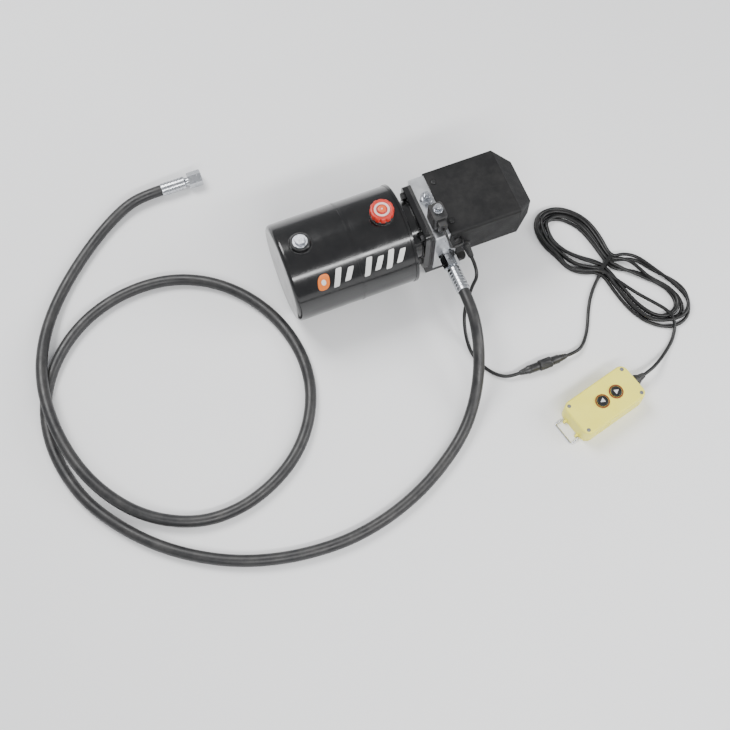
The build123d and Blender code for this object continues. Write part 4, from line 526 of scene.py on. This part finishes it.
def weld_bead(name, ring, out, tube, finish, ripples):
    """A closed bead: a circle of radius tube carried round the ring of points, swelling ripples
    times; it lies in the plane of each point's outward vector and of Z or X."""
    count = len(ring)
    turn = np.linspace(0, 2 * math.pi, 10, endpoint=False)
    swell = tube * (1 + 0.16 * np.cos(np.arange(count) / count * ripples * 2 * math.pi))
    forward = np.roll(ring, -1, 0) - np.roll(ring, 1, 0)
    forward /= np.linalg.norm(forward, axis=1, keepdims=True)
    side = np.cross(forward, out)
    points = (ring[:, None] + swell[:, None, None] * (np.cos(turn)[None, :, None] * out[:, None] +
              np.sin(turn)[None, :, None] * side[:, None]))
    points = np.concatenate([points, points[:1]])
    faces = grid_faces(count + 1, 10) % (count * 10)
    return add_mesh(name, [(points[:-1].reshape(-1, 3), faces)], finish)


def boss_weld(name, x, radius):
    """Fillet weld round a boss, where its wall meets the curved shell."""
    angle = np.linspace(0, 2 * math.pi, 220, endpoint=False)
    out = np.stack([np.cos(angle), np.sin(angle), np.zeros_like(angle)], -1)
    flat = radius * out
    height = AXIS_Z + np.sqrt(TANK_RADIUS ** 2 - flat[:, 1] ** 2)
    ring = MM * np.column_stack([x + flat[:, 0], flat[:, 1], height])
    return weld_bead(name, ring, out, 1.5 * MM, FINISHES["tank_paint"], 44)


boss_weld("plug_boss_weld", PLUG_X, BOSS_RADIUS)
boss_weld("breather_boss_weld", BREATHER_X, BOSS_RADIUS)
neck_angle = np.linspace(0, 2 * math.pi, 300, endpoint=False)
neck_out = np.stack([np.zeros_like(neck_angle), np.cos(neck_angle), np.sin(neck_angle)], -1)
neck_ring = np.array((NECK_WELD_X, 0, AXIS_Z * MM)) + NECK_WELD_RADIUS * neck_out
neck_weld = weld_bead("neck_weld", neck_ring, neck_out, NECK_WELD_TUBE, FINISHES["tank_paint"], 90)

mark = [tank_patch("mark_badge", (-246, MARK_ANGLE), (11, 15), 2.6, -0.25, EXTRA["mark_orange"]),
        tank_patch("mark_dot", (-246, MARK_ANGLE), (4.2, 5.6), 2.0, 0.0, EXTRA["mark_white"], proud=0.2)]
for row, (middle, tall) in enumerate(MARK_BARS):
    mark.append(tank_patch(f"mark_bar_{row + 1}", (middle, MARK_ANGLE), (5.4, tall), 9, -1.1,
                           EXTRA["mark_white"]))


def scallops(angle, along):
    """Twelve rounded flutes in the cap's skirt, fading out over its top edge."""
    depth = 0.085 * np.clip((12.6 - along) / 1.6, 0, 1)
    return 1 - depth * np.clip(np.cos(12 * angle), 0, 1) ** 1.5


cap = add_mesh("breather_cap_form", [lathe(
    [(0, 0), (0, 20.6), (0.7, 21.4), (4, 21.5), (8, 21.5), (10.6, 21.3), (12, 20.4), (12.8, 19.0), (13, 17.6),
     (13, 15.4), (12.4, 14.6), (11.6, 14.3), (11.5, 9.6), (12.2, 8.9), (13.6, 8.6), (14.3, 7.6), (14.5, 5),
     (14.5, 0)],
    BREATHER, (0, 0, 1), 144, scallops)], FINISHES["cap_red"], "breather", sharp=50)
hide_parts("breather_cap")
# The ring on the cap's top and the dot in its middle are pinkish white: a painted highlight on the glossy red
# cap.
cap_ring = add_mesh("breather_cap_ring", [lathe(
    [(11.5, 14.0), (12.3, 13.8), (12.6, 13.0), (12.6, 10.8), (12.3, 10.0), (11.5, 9.8), (11.5, 14.0)],
    BREATHER, (0, 0, 1), 96)], EXTRA["cap_painted_highlight"], "breather")
cap_disc = add_mesh("breather_cap_centre", [lathe(
    [(14.3, 0), (14.3, 7.2), (14.75, 6.6), (14.9, 4), (14.9, 2.6), (14.4, 2.2), (14.4, 0)],
    BREATHER, (0, 0, 1), 64)], EXTRA["cap_orange"], "breather")
# Painted glint: a small pinkish-white dot in the middle of the cap's top.
cap_glint = add_mesh("breather_cap_glint", [lathe(
    [(14.3, 0), (14.3, 1.9), (14.6, 1.7), (14.7, 1.0), (14.7, 0)], BREATHER, (0, 0, 1), 32)],
    EXTRA["cap_painted_highlight"], "breather")


# ------------------------------------------------------------------ strain reliefs and connector
def ribbed_relief(name, start, direction, length, root, tip, ribs, finish_slot):
    """A tapered ribbed sleeve: the radius falls from root to tip with a row of rounded ribs."""
    s = np.linspace(0, length, ribs * 8 + 1)
    wave = np.abs(np.sin(s / length * ribs * math.pi))
    radius = root + (tip - root) * s / length + 0.55 * wave ** 0.6
    profile = [(0, LEAD_RADIUS / MM + 0.05)] + list(zip(s, radius)) + [(length, LEAD_RADIUS / MM + 0.05)]
    profile.append(profile[0])
    made = add_mesh(name, [lathe(profile, start, direction, 40)], FINISHES[finish_slot])
    return made


relief_pump = ribbed_relief("pump_lead_relief", (0.024, -0.0725, 0.103), (0, -1, 0), 22.5, 6.6, 4.6, 6,
                            "gland_nylon")
ribbed_relief("pendant_relief", on_pendant(83.5, 0, 20), ALONG, 10, 6.4, 4.6, 3, "gland_nylon")


def fluted(first, last, count, depth):
    """Flutes round one stretch of a turned piece."""
    return lambda angle, along: (1 - depth * ((along > first) & (along < last)) *
                                 (0.5 + 0.5 * np.cos(count * angle)))


socket_half = add_mesh("pump_connector", [lathe(
    [(0, 0), (0, 4.2), (0.5, 4.5), (3, 5.0), (3.5, 4.6), (4.5, 4.9), (5, 5.5), (7, 5.8), (7.5, 5.2), (8.5, 5.5),
     (9, 6.1), (11.5, 6.5), (14, 6.6), (16, 8.0), (20, 8.0), (20.6, 7.5), (22, 7.5), (22.6, 8.0), (37.4, 8.0),
     (38, 7.6), (38, 0)], (0.038, -0.302, 0.0102), (1, 0, 0), 96, fluted(15, 37, 18, 0.03))],
    FINISHES["connector_nylon"])
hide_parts("lead_socket")
plug_half = add_mesh("pendant_connector", [lathe(
    [(0, 0), (0, 4.2), (0.5, 4.5), (3, 5.0), (3.5, 4.6), (4.5, 4.9), (5, 5.5), (7, 5.8), (7.5, 5.2), (8.5, 5.5),
     (9, 6.1), (11.5, 6.5), (14, 6.6), (16, 8.0), (29.4, 8.0), (30, 9.0), (31, 10.0), (32.4, 10.0), (33, 9.9),
     (50, 9.9), (50.6, 10.0), (53, 10.0), (54, 9.0), (54, 0)], (0.130, -0.302, 0.0102), (-1, 0, 0), 144,
    fluted(32.5, 50.5, 24, 0.06))], FINISHES["connector_nylon"])
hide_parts("pendant_plug")

# ------------------------------------------------------------------ pendant
CASE_TOP = 40.0
for label, along, body, sign in (("up", 24.0, "up", 1), ("down", -7.0, "down", -1)):
    rim = add_mesh(f"{label}_button_rim", [lathe(
        [(1.9, 10.6), (2.5, 10.8), (2.7, 11.8), (2.5, 12.9), (1.6, 13.3), (1.6, 10.6), (1.9, 10.6)],
        on_pendant(along, 0, CASE_TOP), (0, 0, 1), 72)], EXTRA["button_rim"])
    corner = np.array([(5.0, 0.0), (-3.2, 4.6), (-3.2, -4.6)]) * (sign, 1)
    lower = np.array([on_pendant(along + u, v, CASE_TOP + 4.45) for u, v in corner])
    upper = lower + (0, 0, 0.00022)
    faces = np.array([(0, 1, 4, 3), (1, 2, 5, 4), (2, 0, 3, 5)])
    arrow_points = np.concatenate([lower, upper])
    arrow = bpy.data.meshes.new(f"{label}_arrow")
    arrow.from_pydata(arrow_points.tolist(), [], faces.tolist() + [(3, 4, 5), (2, 1, 0)])
    arrow.materials.append(EXTRA["symbol_white"])
    arrow_piece = bpy.data.objects.new(f"{label}_arrow", arrow)
    bpy.context.scene.collection.objects.link(arrow_piece)
    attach(arrow_piece, body)


def cushion_bar(centre, half, power=4.0):
    """A rounded bar: a superellipsoid, |u/a|^p + |v/b|^p + |z/c|^p = 1 on the pendant's axes."""
    polar = np.linspace(0, math.pi, 13)[:, None]
    round_ = np.linspace(0, 2 * math.pi, 24, endpoint=False)[None, :]
    d = np.stack([np.sin(polar) * np.cos(round_), np.sin(polar) * np.sin(round_),
                  np.cos(polar) * np.ones_like(round_)], -1)
    scale = (np.abs(d) ** power).sum(-1, keepdims=True) ** (-1 / power)
    local = d * scale * np.array(half) + np.array(centre)
    points = PENDANT + MM * (local[..., :1] * ALONG + local[..., 1:2] * ACROSS + local[..., 2:] * UP)
    return points.reshape(-1, 3), grid_faces(13, 24)


CASE_HALF = 36.0
grip = add_mesh("pendant_grip_ribs", [
    cushion_bar((along, side * (CASE_HALF - 0.2), 20), (1.6, 0.9, 12))
    for side in (-1, 1) for along in np.arange(-42, -13, 6.5)], FINISHES["case_yellow"])

# ------------------------------------------------------------------ hank tie
TIE_TURN = math.radians(-57.0)
TIE_ALONG = np.array((math.cos(TIE_TURN), math.sin(TIE_TURN), 0.0))
TIE_ACROSS = np.array((-math.sin(TIE_TURN), math.cos(TIE_TURN), 0.0))
TIE_AT = np.array((0.280, -0.158, 0.0))


def tie_band():
    """A flat strap round the hank: a rounded rectangle ring with an inner and an outer wall."""
    turn = np.linspace(0, 2 * math.pi, 72, endpoint=False)
    direction = np.stack([np.cos(turn), np.sin(turn)], -1)
    rings = []
    for along, grow in ((-3.6, 0.0), (-3.2, 1.3), (3.2, 1.3), (3.6, 0.0), (-3.6, 0.0)):
        half = np.array((18.0, 7.7)) + grow
        scale = (np.abs(direction / half) ** 4).sum(-1, keepdims=True) ** (-0.25)
        flat = direction * scale
        rings.append(TIE_AT + MM * (along * TIE_ALONG + flat[:, :1] * TIE_ACROSS + (flat[:, 1:] + 9.0) * UP))
    return np.concatenate(rings), grid_faces(5, 72)


tie = add_mesh("hank_tie_strap", [tie_band()], FINISHES["tie_nylon"], sharp=30)
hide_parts("hank_tie")

# ------------------------------------------------------------------ light and floor
world = bpy.data.worlds.new("studio")
bpy.context.scene.world = world
world.use_nodes = True
world.node_tree.nodes["Background"].inputs["Color"].default_value = (0.95, 0.97, 1.0, 1.0)
world.node_tree.nodes["Background"].inputs["Strength"].default_value = 0.5


def soft_light(name, place, aim, size, power):
    """A rectangular soft light that faces a point."""
    data = bpy.data.lights.new(name, "AREA")
    data.shape = "RECTANGLE"
    data.size, data.size_y = size
    data.energy = power
    made = bpy.data.objects.new(name, data)
    bpy.context.scene.collection.objects.link(made)
    made.location = place
    made.rotation_euler = (Vector(aim) - Vector(place)).to_track_quat("-Z", "Y").to_euler()
    return made


soft_light("strip", (-0.2, -1.75, 1.8), (-0.2, 0.0, 0.12), (2.2, 0.22), 42.0)
soft_light("key", (-0.9, 1.5, 2.6), (-0.2, -0.1, 0.0), (1.4, 1.4), 85.0)
soft_light("fill", (2.0, -1.2, 1.5), (0.0, -0.1, 0.05), (1.2, 1.2), 40.0)

floor_mesh = bpy.data.meshes.new("floor")
floor_mesh.from_pydata([(-9, -9, 0), (9, -9, 0), (9, 9, 0), (-9, 9, 0)], [], [(0, 1, 2, 3)])
floor_mesh.materials.append(finish_of("floor_paper", (0.92, 0.92, 0.92), (0.9, 0.9, 0.905), rough=(0.6, 0.7),
                                      mottle=2.0, grain=(200.0, 0.02, 0.0001), dust=0.0))
floor = bpy.data.objects.new("floor", floor_mesh)
bpy.context.scene.collection.objects.link(floor)
